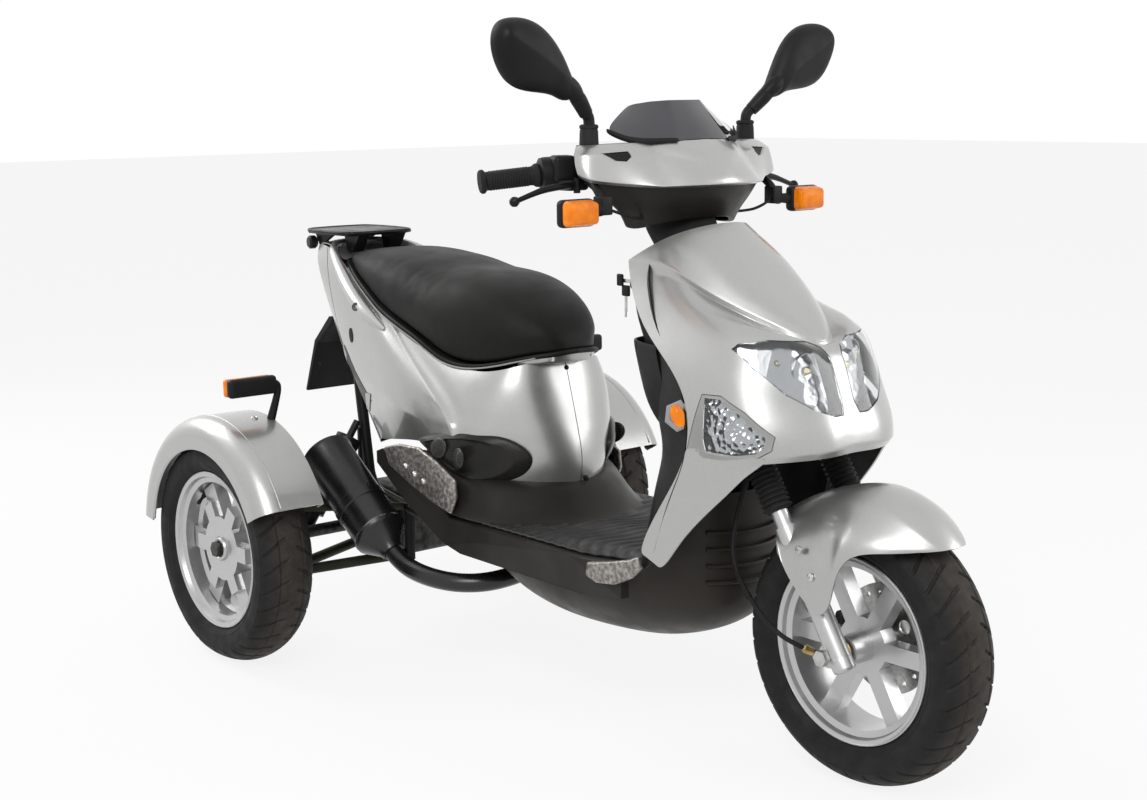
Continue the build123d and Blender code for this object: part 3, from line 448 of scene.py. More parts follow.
for side, word in ((1, "left"), (-1, "right")):
    outline = lamp_outline if side > 0 else mirrored_outline(lamp_outline)
    lens = copy_piece(shield_skin, f"headlamp_lens_{word}")
    cut(lens, cutter("lens_edge", outline, "y", -900, -480, -0.5), "INTERSECT")
    settle(lens)
    tray = copy_piece(lens, f"headlamp_tray_{word}")
    tray.data.transform(Matrix.Translation((0, 0.034, 0)))
    settle(tray)
    dress(tray, lamp_chrome, "chassis", slot="clear_lens")
    dress(lens, clear_lens, "chassis", "headlights", slot="clear_lens")
    for number, (x, y, z, r) in enumerate(((48, -598, 690, 27), (95, -572, 704, 21))):
        bowl = half_ball(f"headlamp_bowl_{word}_{number}", (side * x, y, z), (r, r * 0.8, r))
        modify(bowl, "SOLIDIFY", thickness=0.0015, offset=1)
        settle(bowl)
        dress(bowl, lamp_chrome, "chassis", slot="clear_lens")
        bulb = half_ball(f"headlamp_bulb_{word}_{number}", (side * x, y, z), (7, 12, 7), keep_back=False)
        modify(bulb, "SOLIDIFY", thickness=0.001, offset=-1)
        settle(bulb)
        dress(bulb, bulb_glass, "chassis", slot="clear_lens")

# Corner lamps: a three-sided clear lens in a satin bezel, over cut-crystal reflectors.
# Bezel and lens are both cut from the shield's surface, one inside the other.
grain_group, nodes, links, entry, leave = new_group(
    "moulded_grain", (("Scale", 900.0), ("Strength", 0.15), ("Distance", 0.0002)), (("Normal", "NodeSocketVector"),))
noise = object_noise(nodes, links, 0, 2, entry.outputs["Scale"])
bump = nodes.new("ShaderNodeBump")
links.new(noise.outputs["Fac"], bump.inputs["Height"])
links.new(entry.outputs["Strength"], bump.inputs["Strength"])
links.new(entry.outputs["Distance"], bump.inputs["Distance"])
links.new(bump.outputs["Normal"], leave.inputs["Normal"])


def add_grain(nodes, links, shader, scale, strength, distance=0.0002):
    """Moulded grain from the grain group."""
    grain = nodes.new("ShaderNodeGroup")
    grain.node_tree = grain_group
    grain.inputs["Scale"].default_value = scale
    grain.inputs["Strength"].default_value = strength
    grain.inputs["Distance"].default_value = distance
    links.new(grain.outputs["Normal"], shader.inputs["Normal"])


def plastic(name, dark, light, low, high, grain=900, strength=0.2):
    """Moulded plastic or rubber: two close tones, uneven gloss and a fine grain."""
    material, nodes, links, shader = new_material(name)
    add_tones(nodes, links, shader, dark, light, 7)
    shader.inputs["Specular IOR Level"].default_value = 0.16
    add_wear(nodes, links, shader, 22, low, high)
    add_grain(nodes, links, shader, grain, strength)
    return material


lens_outline = [(-506, 650), (-534, 650), (-572, 628), (-612, 592), (-611, 576), (-600, 566), (-548, 558),
                (-514, 560), (-508, 580)]
bezel_paint = plastic("lamp_bezel", (0.30, 0.30, 0.29), (0.38, 0.38, 0.37), 0.3, 0.42, 800, 0.05)
for side, word in ((1, "left"), (-1, "right")):
    start, end = 120 * side, 300 * side
    bezel = copy_piece(shield_skin, f"corner_bezel_{word}")
    cut(bezel, cutter("bezel_edge", corner_outline, "x", start, end, -0.4), "INTERSECT")
    cut(bezel, cutter("bezel_window", lens_outline, "x", start, end))
    settle(bezel)
    dress(bezel, bezel_paint, "chassis", slot="clear_lens")
    lens = copy_piece(shield_skin, f"corner_lens_{word}")
    cut(lens, cutter("corner_lens_edge", lens_outline, "x", start, end, -0.3), "INTERSECT")
    settle(lens)
    tray = copy_piece(lens, f"corner_tray_{word}")
    tray.data.transform(Matrix.Translation((-0.014 * side, 0.008, 0)))
    settle(tray)
    dress(tray, crystal_chrome, "chassis", slot="clear_lens")
    dress(lens, clear_lens, "chassis", "corner_lamps", slot="clear_lens")
bpy.data.objects.remove(shield_skin)


# Handlebar cowl: a silver moulding over the bar, with a soft crest each side and a thin lower lip.
# A charcoal dash housing closes it at the back and carries the speedometer.
black_plastic = plastic("black_moulding", (0.007, 0.007, 0.007), (0.014, 0.014, 0.014), 0.38, 0.55)
grey_plastic = plastic("charcoal_moulding", (0.016, 0.0145, 0.0125), (0.028, 0.025, 0.022), 0.32, 0.48, 1400, 0.12)
cowl_rows = [
    [(0, -366, 984), (42, -360, 983), (82, -347, 983), (116, -330, 983), (148, -304, 985), (184, -276, 989),
     (218, -262, 993), (224, -240, 1000)],
    [(0, -379, 988), (44, -372, 987), (84, -358, 987), (120, -337, 986), (152, -308, 990), (190, -279, 994),
     (228, -266, 999), (234, -243, 1008)],
    [(0, -379, 996), (44, -371, 996), (84, -356, 997), (116, -326, 1000), (154, -301, 1006), (194, -274, 1014),
     (230, -261, 1015), (236, -238, 1024)],
    [(0, -372, 1009), (38, -352, 1020), (74, -328, 1032), (106, -301, 1037), (154, -284, 1041), (194, -265, 1043),
     (226, -255, 1040), (232, -232, 1044)],
    [(0, -346, 1038), (38, -340, 1042), (72, -320, 1050), (102, -286, 1052), (146, -270, 1053), (184, -256, 1053),
     (216, -246, 1052), (222, -224, 1053)],
    [(0, -318, 1063), (37, -313, 1062), (69, -301, 1061), (100, -279, 1060), (138, -262, 1059), (172, -252, 1058),
     (206, -240, 1057), (212, -216, 1057)],
]
dash_rows = [
    cowl_rows[-1],
    [(0, -290, 1062), (50, -284, 1062), (86, -270, 1062), (112, -254, 1061), (140, -238, 1060), (170, -224, 1059),
     (194, -210, 1058), (197, -196, 1057)],
    [(0, -168, 1056), (50, -168, 1056), (86, -168, 1055), (112, -168, 1054), (140, -168, 1052), (168, -170, 1050),
     (186, -176, 1046), (190, -182, 1042)],
    [(0, -156, 1020), (50, -156, 1020), (86, -156, 1019), (112, -156, 1018), (140, -157, 1018), (168, -162, 1016),
     (186, -170, 1014), (188, -176, 1012)],
    [(0, -166, 986), (50, -166, 986), (86, -166, 987), (112, -167, 988), (140, -168, 990), (168, -172, 992),
     (184, -178, 996), (186, -182, 1000)],
]
cowl_inside = (0, -260, 1010)
vent_outline = [(-263, 1043), (-287, 1047), (-286, 1029), (-276, 1031)]
cowl = lay_skin("handlebar_cowl", cowl_rows, cowl_inside, sharp_rows=(1, 3), sharp_columns=(3,), sharpness=0.9)
vent = copy_piece(cowl, "cowl_vents")
thicken(cowl, 3)
for side in (1, -1):
    start, end = sorted((150 * side, 260 * side))
    cut(cowl, cutter("vent_cut", vent_outline, "x", start, end, 0.6))
settle(cowl, 30)
dress(cowl, silver_paint, "steering", "handlebar_cowl_upper", slot="silver_paint")
vent.data.transform(Matrix.Translation((0, 0.002, -0.0005)))
thicken(vent, 2)
both_vents = cutter("vent_edge", vent_outline, "x", -260, -150)
both_vents_far = cutter("vent_edge_far", vent_outline, "x", 150, 260)
cut(both_vents, both_vents_far, "UNION")
cut(vent, both_vents, "INTERSECT")
settle(vent)
dress(vent, black_plastic, "steering", slot="black_plastic")
dash = lay_skin("dash_housing", dash_rows, cowl_inside, sharp_rows=(0, 2), sharpness=0.4)
thicken(dash, 2.5)
dress(dash, grey_plastic, "steering", slot="dark_grey_plastic")

# Lower cowl: a charcoal skirt from the lip of the cowl down to a round neck over the steering head.
# It is held by two small screws at the front.
black_rubber = plastic("black_rubber", (0.010, 0.010, 0.010), (0.020, 0.020, 0.020), 0.55, 0.75, 700, 0.25)
black_enamel = plastic("black_enamel", (0.008, 0.008, 0.008), (0.014, 0.014, 0.014), 0.22, 0.4, 300, 0.05)
steer_foot = Vector((0, -681.34, 224.34))
steer_up = Vector((0, 0.5299, 0.8480))
steer_front = Vector((0, -0.8480, 0.5299))


def steer_ring(up, radius, count, out=1.0):
    """Half a ring round the steering axis in millimetres, from the front to the back."""
    ring = []
    for step in range(count):
        turn = math.pi * step / (count - 1)
        point = steer_foot + steer_up * up + steer_front * radius * math.cos(turn)
        point.x = radius * out * math.sin(turn)
        ring.append(tuple(point))
    return ring


skirt_rows = [
    [(0, -366, 986), (42, -360, 985), (84, -346, 985), (119, -325, 985), (160, -288, 988), (206, -254, 992),
     (206, -218, 992), (160, -176, 990), (84, -166, 990), (0, -166, 990)],
    [(0, -352, 962), (40, -347, 961), (80, -333, 960), (114, -311, 959), (142, -281, 959), (164, -250, 959),
     (160, -216, 962), (118, -182, 966), (60, -170, 970), (0, -168, 972)],
    [(0, -336, 944), (38, -332, 943), (74, -319, 941), (104, -299, 940), (124, -277, 940), (133, -253, 940),
     (126, -220, 942), (96, -192, 946), (50, -180, 950), (0, -178, 952)],
    [(0, -323, 928), (36, -319, 927), (67, -308, 924), (94, -291, 919), (111, -273, 912), (117, -252, 909),
     (110, -220, 911), (82, -196, 917), (42, -184, 922), (0, -181, 924)],
    [(0, -314, 929), (34, -310, 928), (62, -300, 925), (86, -285, 920), (102, -269, 914), (107, -251, 911),
     (101, -224, 913), (76, -202, 919), (40, -191, 924), (0, -188, 926)]]
skirt = lay_skin("handlebar_skirt", skirt_rows, (0, -270, 950), sharp_rows=(0, 3), sharpness=0.6)
thicken(skirt, 2.5)
dress(skirt, grey_plastic, "steering", "handlebar_cowl_lower", slot="dark_grey_plastic")
neck_rows = [steer_ring(772, 54, 10), steer_ring(772, 60, 10), steer_ring(800, 60, 10), steer_ring(840, 66, 10),
             steer_ring(846, 50, 10)]
neck = lay_skin("handlebar_neck", neck_rows, tuple(steer_foot + steer_up * 800), sharp_rows=(1,), smooth=2)
dress(neck, black_rubber, "steering", slot="dark_grey_plastic")


def turned(name, profile, origin, axis, steps=40, angle=35):
    """A closed profile of (along, radius) pairs in millimetres, spun round the axis through the origin."""
    clear_selection()
    bpy.ops.mesh.primitive_circle_add(vertices=len(profile), radius=1)
    piece = bpy.context.object
    piece.name = name
    for vertex, (along, radius) in zip(piece.data.vertices, profile):
        vertex.co = (along / 1000, radius / 1000, 0)
    bpy.ops.object.mode_set(mode="EDIT")
    bpy.ops.mesh.select_all(action="SELECT")
    bpy.ops.mesh.spin(steps=steps, angle=2 * math.pi, center=(0, 0, 0), axis=(1, 0, 0))
    bpy.ops.object.mode_set(mode="OBJECT")
    turn = Vector((1, 0, 0)).rotation_difference(Vector(axis).normalized()).to_matrix().to_4x4()
    piece.data.transform(Matrix.Translation(Vector(origin) / 1000) @ turn)
    settle(piece, angle)
    return piece


def both_sides(piece):
    """Adds the mirror image over x = 0."""
    modify(piece, "MIRROR", use_axis=(True, False, False), use_mirror_merge=False)
    settle(piece)


def join(name, *pieces):
    """Joins pieces of one finish into the first."""
    clear_selection()
    for piece in pieces:
        piece.select_set(True)
    bpy.context.view_layer.objects.active = pieces[0]
    bpy.ops.object.join()
    pieces[0].name = name
    return pieces[0]


def screw(origin, axis, radius=5.0):
    """A pan-head screw with a cross recess left as a shallow dimple."""
    return turned("screw", [(-2, 0), (-2, radius), (0.8, radius), (radius * 0.38, radius * 0.62),
                            (radius * 0.4, radius * 0.3),
                            (radius * 0.15, radius * 0.22), (radius * 0.15, 0)], origin, axis, 14)


skirt_screws = screw((88, -330, 972), (0.42, -0.88, -0.3), 5)
both_sides(skirt_screws)
skirt_screws.name = "skirt_screws"
dress(skirt_screws, black_enamel, "steering", slot="black_frame")

# Windscreen: a small smoked blade with four facets, seated on a black rubber strip.
# It is bent from one thin sheet and turns with the handlebar.
screen_rows = [
    [(0, -315, 1065), (60, -306, 1062), (98, -286, 1060), (123, -265, 1062), (138, -248, 1067), (153, -224, 1080)],
    [(0, -295, 1098), (50, -286, 1096), (82, -266, 1095), (104, -244, 1094), (116, -230, 1095), (126, -214, 1098)],
    [(0, -265, 1131), (38, -259, 1131), (62, -238, 1129), (79, -216, 1125), (84, -210, 1123), (88, -204, 1120)],
]
smoked, nodes, links, shader = new_material("smoked_screen")
add_tones(nodes, links, shader, (0.010, 0.009, 0.014), (0.022, 0.020, 0.030), 5)
add_wear(nodes, links, shader, 18, 0.04, 0.1)
shader.inputs["Coat Weight"].default_value = 1.0
shader.inputs["Coat Roughness"].default_value = 0.03
screen = lay_skin("windscreen_blade", screen_rows, (0, -230, 1050), sharp_columns=(1, 2, 3), sharpness=0.85)
thicken(screen, 2.5)
dress(screen, smoked, "steering", "windscreen", slot="smoked_screen")
strip_rows = [[(x * 1.005, y - 2, z - 5) for x, y, z in screen_rows[0][1:]],
              [(x * 1.02, y - 5, z + 1) for x, y, z in screen_rows[0][1:]],
              [(x * 1.004, y - 1, z + 6) for x, y, z in screen_rows[0][1:]]]
strip = lay_skin("windscreen_strip", strip_rows, (0, -230, 1050), smooth=2)
thicken(strip, 2)
dress(strip, black_rubber, "steering", slot="rubber")

# Speedometer: a round dial behind a flat glass, in a raised ring on the dash, with plain tick marks.
# Ring, glass, dial and needle are separate pieces that turn with the handlebar.
dial_centre, dial_axis = Vector((0, -224, 1060)), Vector((0, 0.05, 1))
ring = turned("speedometer_ring", [(-4, 40), (-4, 44), (3, 44), (4.5, 42), (3, 40)], dial_centre, dial_axis, 48)
dress(ring, black_plastic, "steering", slot="black_plastic")
dial_face, nodes, links, shader = new_material("dial_face")
place = nodes.new("ShaderNodeTexCoord")
centred = nodes.new("ShaderNodeMapping")
centred.inputs["Location"].default_value = (0, 0.224, 0)
polar = nodes.new("ShaderNodeTexGradient")
polar.gradient_type = "RADIAL"
ticks = nodes.new("ShaderNodeMath")
ticks.operation = "PINGPONG"
ticks.inputs[1].default_value = 1 / 72
thin = nodes.new("ShaderNodeMath")
thin.operation = "LESS_THAN"
thin.inputs[1].default_value = 0.0022
far = nodes.new("ShaderNodeVectorMath")
far.operation = "LENGTH"
rim = nodes.new("ShaderNodeMath")
rim.operation = "GREATER_THAN"
both = nodes.new("ShaderNodeMath")
both.operation = "MULTIPLY"
shade = nodes.new("ShaderNodeMixRGB")
shade.inputs["Color1"].default_value = (0.012, 0.013, 0.016, 1)
shade.inputs["Color2"].default_value = (0.75, 0.75, 0.72, 1)
links.new(place.outputs["Object"], centred.inputs["Vector"])
links.new(centred.outputs["Vector"], polar.inputs["Vector"])
links.new(polar.outputs["Fac"], ticks.inputs[0])
links.new(ticks.outputs[0], thin.inputs[0])
flat = nodes.new("ShaderNodeVectorMath")
flat.operation = "MULTIPLY"
flat.inputs[1].default_value = (1, 1, 0)
links.new(centred.outputs["Vector"], flat.inputs[0])
links.new(flat.outputs["Vector"], far.inputs[0])
rim.inputs[1].default_value = 0.030
links.new(far.outputs["Value"], rim.inputs[0])
links.new(thin.outputs[0], both.inputs[0])
links.new(rim.outputs[0], both.inputs[1])
links.new(both.outputs[0], shade.inputs["Fac"])
links.new(shade.outputs["Color"], shader.inputs["Base Color"])
shader.inputs["Roughness"].default_value = 0.5
dial = turned("speedometer_dial", [(-3, 0), (-3, 40.5), (0.5, 40.5), (0.5, 0)], dial_centre, dial_axis, 48)
dress(dial, dial_face, "steering", slot="black_plastic")
needle_paint = plastic("needle_paint", (0.45, 0.03, 0.01), (0.55, 0.05, 0.015), 0.4, 0.5)
hub = turned("speedometer_needle", [(0.4, 0), (0.4, 5), (3, 4.5), (3.4, 0)], dial_centre, dial_axis, 24)
clear_selection()
bpy.ops.mesh.primitive_cone_add(vertices=4, radius1=0.0018, radius2=0.0004, depth=0.032)
pointer = bpy.context.object
pointer.data.transform(Matrix.Translation(dial_centre / 1000 + Vector((-0.010, 0.012, 0.0022)))
                       @ Matrix.Rotation(math.radians(40), 4, "Z") @ Matrix.Rotation(math.radians(-90), 4, "X")
                       @ Matrix.Diagonal((1, 0.4, 1, 1)))
needle = join("speedometer_needle", hub, pointer)
settle(needle)
dress(needle, needle_paint, "steering", slot="black_plastic")
dial_glass = turned("speedometer_glass", [(3, 0), (3, 40), (4, 40), (4.6, 20), (4.8, 0)], dial_centre, dial_axis, 48)
dress(dial_glass, clear_lens, "steering", slot="clear_lens")

# Mirrors: pear-shaped black shells with a soft ridge, on jointed stalks that rise from rubber boots.
# Each shell holds a flat glass on its rear face.
mirror_outline = [(404, 1236), (397, 1257), (379, 1268), (354, 1270), (330, 1267), (309, 1259), (292, 1247),
                  (277, 1232), (263, 1211), (250, 1187), (238, 1163), (230, 1146), (236, 1136), (254, 1130),
                  (272, 1141), (294, 1145), (319, 1147), (343, 1150), (363, 1157), (380, 1169), (393, 1188),
                  (402, 1212)]
ridge_low, ridge_high = Vector((284, 1184)), Vector((384, 1240))


def mirror_ring(share, y):
    """A ring of the shell, drawn from its outline towards the ridge by a share."""
    ring = []
    for point in mirror_outline + mirror_outline[:1]:
        point = Vector(point)
        along = (point - ridge_low).dot(ridge_high - ridge_low) / (ridge_high - ridge_low).length_squared
        target = ridge_low.lerp(ridge_high, min(max(along, 0), 1))
        x, z = point.lerp(target, share)
        ring.append((x, y, z))
    return ring


mirror_top = [((334, -264, 1212))] * (len(mirror_outline) + 1)
mirror_shell = lay_skin("mirror_shells", [mirror_ring(0.07, -229), mirror_ring(0.02, -226), mirror_ring(0, -232),
                                          mirror_ring(0.02, -242), mirror_ring(0.25, -254), mirror_ring(0.62, -260),
                                          mirror_ring(0.95, -264), mirror_top],
                        (320, -235, 1200), sharp_rows=(1,), smooth=2, sharpness=0.5)
settle(mirror_shell, 50)
dress(mirror_shell, black_plastic, "steering", "mirrors", slot="black_plastic")
mirror_silver, nodes, links, shader = new_material("mirror_silver")
shader.inputs["Base Color"].default_value = (0.78, 0.79, 0.80, 1)
shader.inputs["Metallic"].default_value = 1.0
add_wear(nodes, links, shader, 12, 0.01, 0.04)
mirror_glass = lay_skin("mirror_glass", [mirror_ring(0.06, -230), mirror_ring(0.08, -228), mirror_ring(0.6, -228),
                                         [(334, -228, 1212)] * (len(mirror_outline) + 1)],
                        (320, -260, 1200), sharp_rows=(1,), smooth=1)
dress(mirror_glass, mirror_silver, "steering", slot="black_plastic")


def bar(name, points, radii, steps=12, order=3):
    """A smooth round bar through points in millimetres, with one radius or one for each point."""
    path = bpy.data.curves.new(name, "CURVE")
    path.dimensions = "3D"
    path.bevel_depth = 0.001
    path.bevel_resolution = 4
    path.use_fill_caps = True
    path.resolution_u = steps
    spline = path.splines.new("NURBS")
    spline.points.add(len(points) - 1)
    if not hasattr(radii, "__len__"):
        radii = [radii] * len(points)
    for knot, point, radius in zip(spline.points, points, radii):
        knot.co = (*[c / 1000 for c in point], 1)
        knot.radius = radius
    spline.order_u = min(order, len(points))
    spline.use_endpoint_u = True
    piece = bpy.data.objects.new(name, path)
    bpy.context.collection.objects.link(piece)
    pick(piece)
    bpy.ops.object.convert(target="MESH")
    piece = bpy.context.object
    settle(piece, 40)
    return piece


stalk = bar("mirror_stalks", [(190, -223, 1084), (190, -223, 1096), (193, -224, 1106), (208, -229, 1118),
                              (226, -236, 1134), (240, -240, 1148), (262, -243, 1166)], [10, 10, 10, 10, 9.5, 9, 8])
sleeve = bar("mirror_sleeve", [(201, -227, 1111), (208, -230, 1118), (224, -236, 1134), (229, -237, 1139)],
             [12.5, 13, 14.5, 14])
neck = bar("mirror_neck", [(227, -236, 1137), (236, -240, 1146), (250, -242, 1158), (268, -244, 1170)],
           [13, 15, 17, 12])
stalk = join("mirror_stalks", stalk, sleeve, neck)
both_sides(stalk)
dress(stalk, black_plastic, "steering", slot="black_plastic")
boot = turned("mirror_boots", [(0, 0), (0, 18), (4, 18.5), (7, 17), (32, 16), (36, 15), (38, 16.5), (42, 16.5),
                               (44, 13), (44, 0)], (190, -222, 1048), (0, 0, 1), 32)
both_sides(boot)
dress(boot, black_rubber, "steering", slot="rubber")

# Grips: moulded rubber with fine raised rings between plain ends, a flange inboard and a domed end cap.
# They are pushed over the ends of the bar.
bar_end, bar_inner = Vector((320, -94, 996)), Vector((203, -150, 1008))
inboard = (bar_inner - bar_end).normalized()
profile = [(-10, 0), (-11, 9), (-9, 19), (-6, 21), (-2, 21), (0, 19), (2, 16.4)]
for number in range(15):
    start = 8 + number * 4.7
    profile += [(start, 16.3), (start + 1, 17.2), (start + 3, 17.2), (start + 4, 16.3)]
profile += [(82, 16.4), (86, 17), (90, 20), (94, 21), (97, 20), (98, 17), (98, 0)]
grip = turned("rubber_grips", profile, bar_end, inboard, 40, 25)
both_sides(grip)
dress(grip, black_rubber, "steering", "grips", slot="rubber")

# Switch housings and lever brackets: clamped to the bar just outside the cowl, in black moulding.
# Each is two half shells screwed together round the bar.
housing = turned("switch_housings", [(98.5, 0), (98.5, 25), (101, 29), (108, 30), (132, 29), (140, 26), (146, 20),
                                     (146, 0)],
                 bar_end, inboard, 32)
clear_selection()
bpy.ops.mesh.primitive_cube_add(size=0.001)
knob_block = bpy.context.object
knob_block.data.transform(Matrix.Translation((0.206, -0.168, 1.016)) @ Matrix.Rotation(math.radians(22), 4, "Z")
                          @ Matrix.Diagonal((40, 42, 46, 1)))
modify(knob_block, "BEVEL", width=0.008, segments=4)
clear_selection()
bpy.ops.mesh.primitive_cube_add(size=0.001)
perch = bpy.context.object
perch.data.transform(Matrix.Translation((0.206, -0.196, 0.988)) @ Matrix.Diagonal((44, 40, 18, 1)))
modify(perch, "BEVEL", width=0.006, segments=3)
housing = join("switch_housings", housing, knob_block, perch)
both_sides(housing)
dress(housing, black_plastic, "steering", slot="black_plastic")
buttons = []
for place, size in (((0.216, -0.142, 1.028), (10, 6, 8)), ((0.200, -0.148, 1.028), (8, 6, 8)),
                    ((0.210, -0.144, 1.010), (16, 7, 7))):
    clear_selection()
    bpy.ops.mesh.primitive_cube_add(size=0.001)
    button = bpy.context.object
    button.data.transform(Matrix.Translation(place) @ Matrix.Diagonal((*size, 1)))
    modify(button, "BEVEL", width=0.0015, segments=3)
    buttons.append(button)
buttons = join("switch_buttons", *buttons)
both_sides(buttons)
dress(buttons, bezel_paint, "steering", slot="black_plastic")

# Levers: forged blades with a ball end, black enamelled.
# Each turns on a bolt in its bracket and stands here at rest.
lever = bar("lever_blades", [(204, -206, 988), (226, -214, 989), (252, -213, 988), (280, -209, 984),
                             (308, -206, 976), (336, -204, 967)], [5, 6, 6.5, 6, 4.8, 4.5])
ball = turned("lever_ball", [(-9, 0), (-8.2, 4), (-5.5, 7.2), (0, 9), (5.5, 7.2), (8.2, 4), (9, 0)],
              (341, -204, 966), (1, 0, -0.3), 24)
pivot = turned("lever_pivot", [(-13, 0), (-13, 6), (13, 6), (13, 0)], (210, -212, 988), (0, 0, 1), 20)
lever = join("lever_blades", lever, ball, pivot)
both_sides(lever)
dress(lever, black_enamel, "steering", "control_levers", slot="black_frame")

# Front indicators: amber lenses in black shells on short stalks, with a thin wire to the cowl.
# The lens is moulded plastic, pushed into the shell.
amber, nodes, links, shader = new_material("amber_lens")
add_tones(nodes, links, shader, (0.74, 0.17, 0.002), (0.90, 0.25, 0.003), 45, 2)
shader.inputs["Roughness"].default_value = 0.16
shader.inputs["Specular IOR Level"].default_value = 0.25
shader.inputs["Coat Weight"].default_value = 0.08
# Painted glow: the weak amber emission makes the lenses shine from within, though no lamp in the scene lights them.
shader.inputs["Emission Color"].default_value = (1.0, 0.24, 0.01, 1)
shader.inputs["Emission Strength"].default_value = 0.12
place = nodes.new("ShaderNodeTexCoord")
ribs = nodes.new("ShaderNodeTexWave")
ribs.bands_direction = "X"
ribs.inputs["Scale"].default_value = 95
bump = nodes.new("ShaderNodeBump")
bump.inputs["Strength"].default_value = 0.5
bump.inputs["Distance"].default_value = 0.0015
links.new(place.outputs["Object"], ribs.inputs["Vector"])
links.new(ribs.outputs["Fac"], bump.inputs["Height"])
links.new(bump.outputs["Normal"], shader.inputs["Normal"])


def soft_block(name, centre, size, width, segments=4):
    """A rounded block in millimetres."""
    clear_selection()
    bpy.ops.mesh.primitive_cube_add(size=0.001)
    piece = bpy.context.object
    piece.name = name
    piece.data.transform(Matrix.Translation(Vector(centre) / 1000) @ Matrix.Diagonal((*size, 1)))
    modify(piece, "BEVEL", width=width / 1000, segments=segments)
    settle(piece, 50)
    return piece


lens = soft_block("indicator_lenses", (277, -302, 947), (68, 30, 44), 9)
for vertex in lens.data.vertices:
    if vertex.co.y < -0.308:
        vertex.co.x = 0.277 + (vertex.co.x - 0.277) * 0.90
        vertex.co.z = 0.947 + (vertex.co.z - 0.947) * 0.88
both_sides(lens)
dress(lens, amber, "steering", "front_indicators", slot="amber_lens")
case = soft_block("indicator_cases", (276, -287, 947), (73, 24, 47), 9)
pillar = turned("indicator_pillar", [(0, 0), (0, 10), (18, 8.5), (20, 11), (26, 11), (26, 8), (44, 8), (44, 0)],
                (240, -284, 948), (-1, 0.18, 0.05), 24)
clamp = soft_block("indicator_clamp", (208, -278, 956), (24, 26, 32), 3, 3)
bracket = bar("indicator_bracket", [(208, -274, 968), (208, -262, 984), (200, -240, 994)], [8, 7, 7])
case = join("indicator_cases", case, pillar, clamp, bracket)
both_sides(case)
dress(case, black_plastic, "steering", slot="black_plastic")
wire = bar("indicator_wires", [(200, -280, 950), (182, -286, 943), (160, -288, 936), (140, -284, 931),
                               (116, -276, 930)], 2.6)
both_sides(wire)
dress(wire, black_rubber, "steering", slot="black_plastic")

# Front fender: one silver moulding that turns with the fork, creased along each shoulder.
# A tongue on each side runs down the fork leg, held by two screws.
def metal(name, dark, light, low, high, scale=60, grain=500, strength=0.1):
    """Bare or cast metal with uneven gloss."""
    material, nodes, links, shader = new_material(name)
    add_tones(nodes, links, shader, dark, light, scale)
    shader.inputs["Metallic"].default_value = 1.0
    add_wear(nodes, links, shader, 40, low, high)
    add_grain(nodes, links, shader, grain, strength)
    return material


bare_steel = metal("satin_steel", (0.45, 0.45, 0.44), (0.62, 0.62, 0.61), 0.25, 0.4)
fender_rows = [
    [(0, -880, 434), (16, -878, 434), (30, -872, 433), (41, -864, 432), (50, -855, 431), (57, -846, 430)],
    [(0, -872, 446), (20, -870, 445), (38, -864, 441), (50, -856, 437), (60, -846, 433), (67, -836, 429)],
    [(0, -836, 481), (28, -834, 478), (50, -828, 467), (70, -822, 449), (84, -816, 436), (90, -810, 427)],
    [(0, -790, 505), (30, -789, 501), (56, -787, 485), (82, -784, 461), (102, -780, 441), (108, -776, 424)],
    [(0, -748, 515), (32, -748, 510), (60, -746, 490), (92, -746, 461), (114, -748, 436), (117, -750, 412)],
    [(0, -724, 515), (32, -724, 510), (60, -724, 491), (96, -726, 458), (117, -728, 420), (119, -729, 378)],
    [(0, -700, 511), (32, -700, 507), (60, -700, 491), (98, -704, 452), (118, -716, 385), (120, -722, 330)],
    [(0, -668, 504), (32, -668, 501), (59, -668, 490), (99, -676, 447), (119, -694, 375), (121, -706, 308)],
    [(0, -640, 496), (31, -640, 493), (58, -641, 484), (98, -652, 442), (118, -670, 372), (120, -682, 311)],
    [(0, -595, 479), (30, -595, 476), (56, -597, 463), (94, -612, 440), (116, -636, 390), (118, -652, 335)],
    [(0, -560, 460), (29, -560, 457), (54, -563, 444), (86, -580, 430), (112, -604, 410), (117, -620, 365)],
    [(0, -544, 450), (29, -545, 447), (53, -549, 434), (80, -566, 424), (106, -588, 416), (116, -602, 398)],
]
fender = lay_skin("front_fender_shell", fender_rows, (0, -700, 300), sharp_columns=(2,), sharpness=0.75)
thicken(fender, 3)
dress(fender, silver_paint, "steering", "front_fender", slot="silver_paint")
fender_screws = join("fender_screws", screw((117, -650, 408), (1, 0, 0), 6.5), screw((119, -678, 368), (1, 0, 0), 6.5))
both_sides(fender_screws)
dress(fender_screws, bare_steel, "steering", slot="steel")

# Tyres: hollow road tyres of black rubber, with curved grooves that sweep from the crown to each shoulder.
# The sidewalls carry plain raised rings; the crown is worn to a brownish grey.
tyre_profile = [(42.5, 152), (43, 160), (49, 165), (55, 172), (57.4, 175), (57, 177), (59.6, 183), (60.6, 190),
                (60.2, 198), (59.4, 202), (59.6, 205), (57.6, 209)]
crown_radius = 79.75
tread_pitches, lines_in_pitch = 34, 14


def eased(value, low, high):
    """0 below low, 1 above high and a smooth step between."""
    share = min(max((value - low) / (high - low), 0), 1)
    return share * share * (3 - 2 * share)


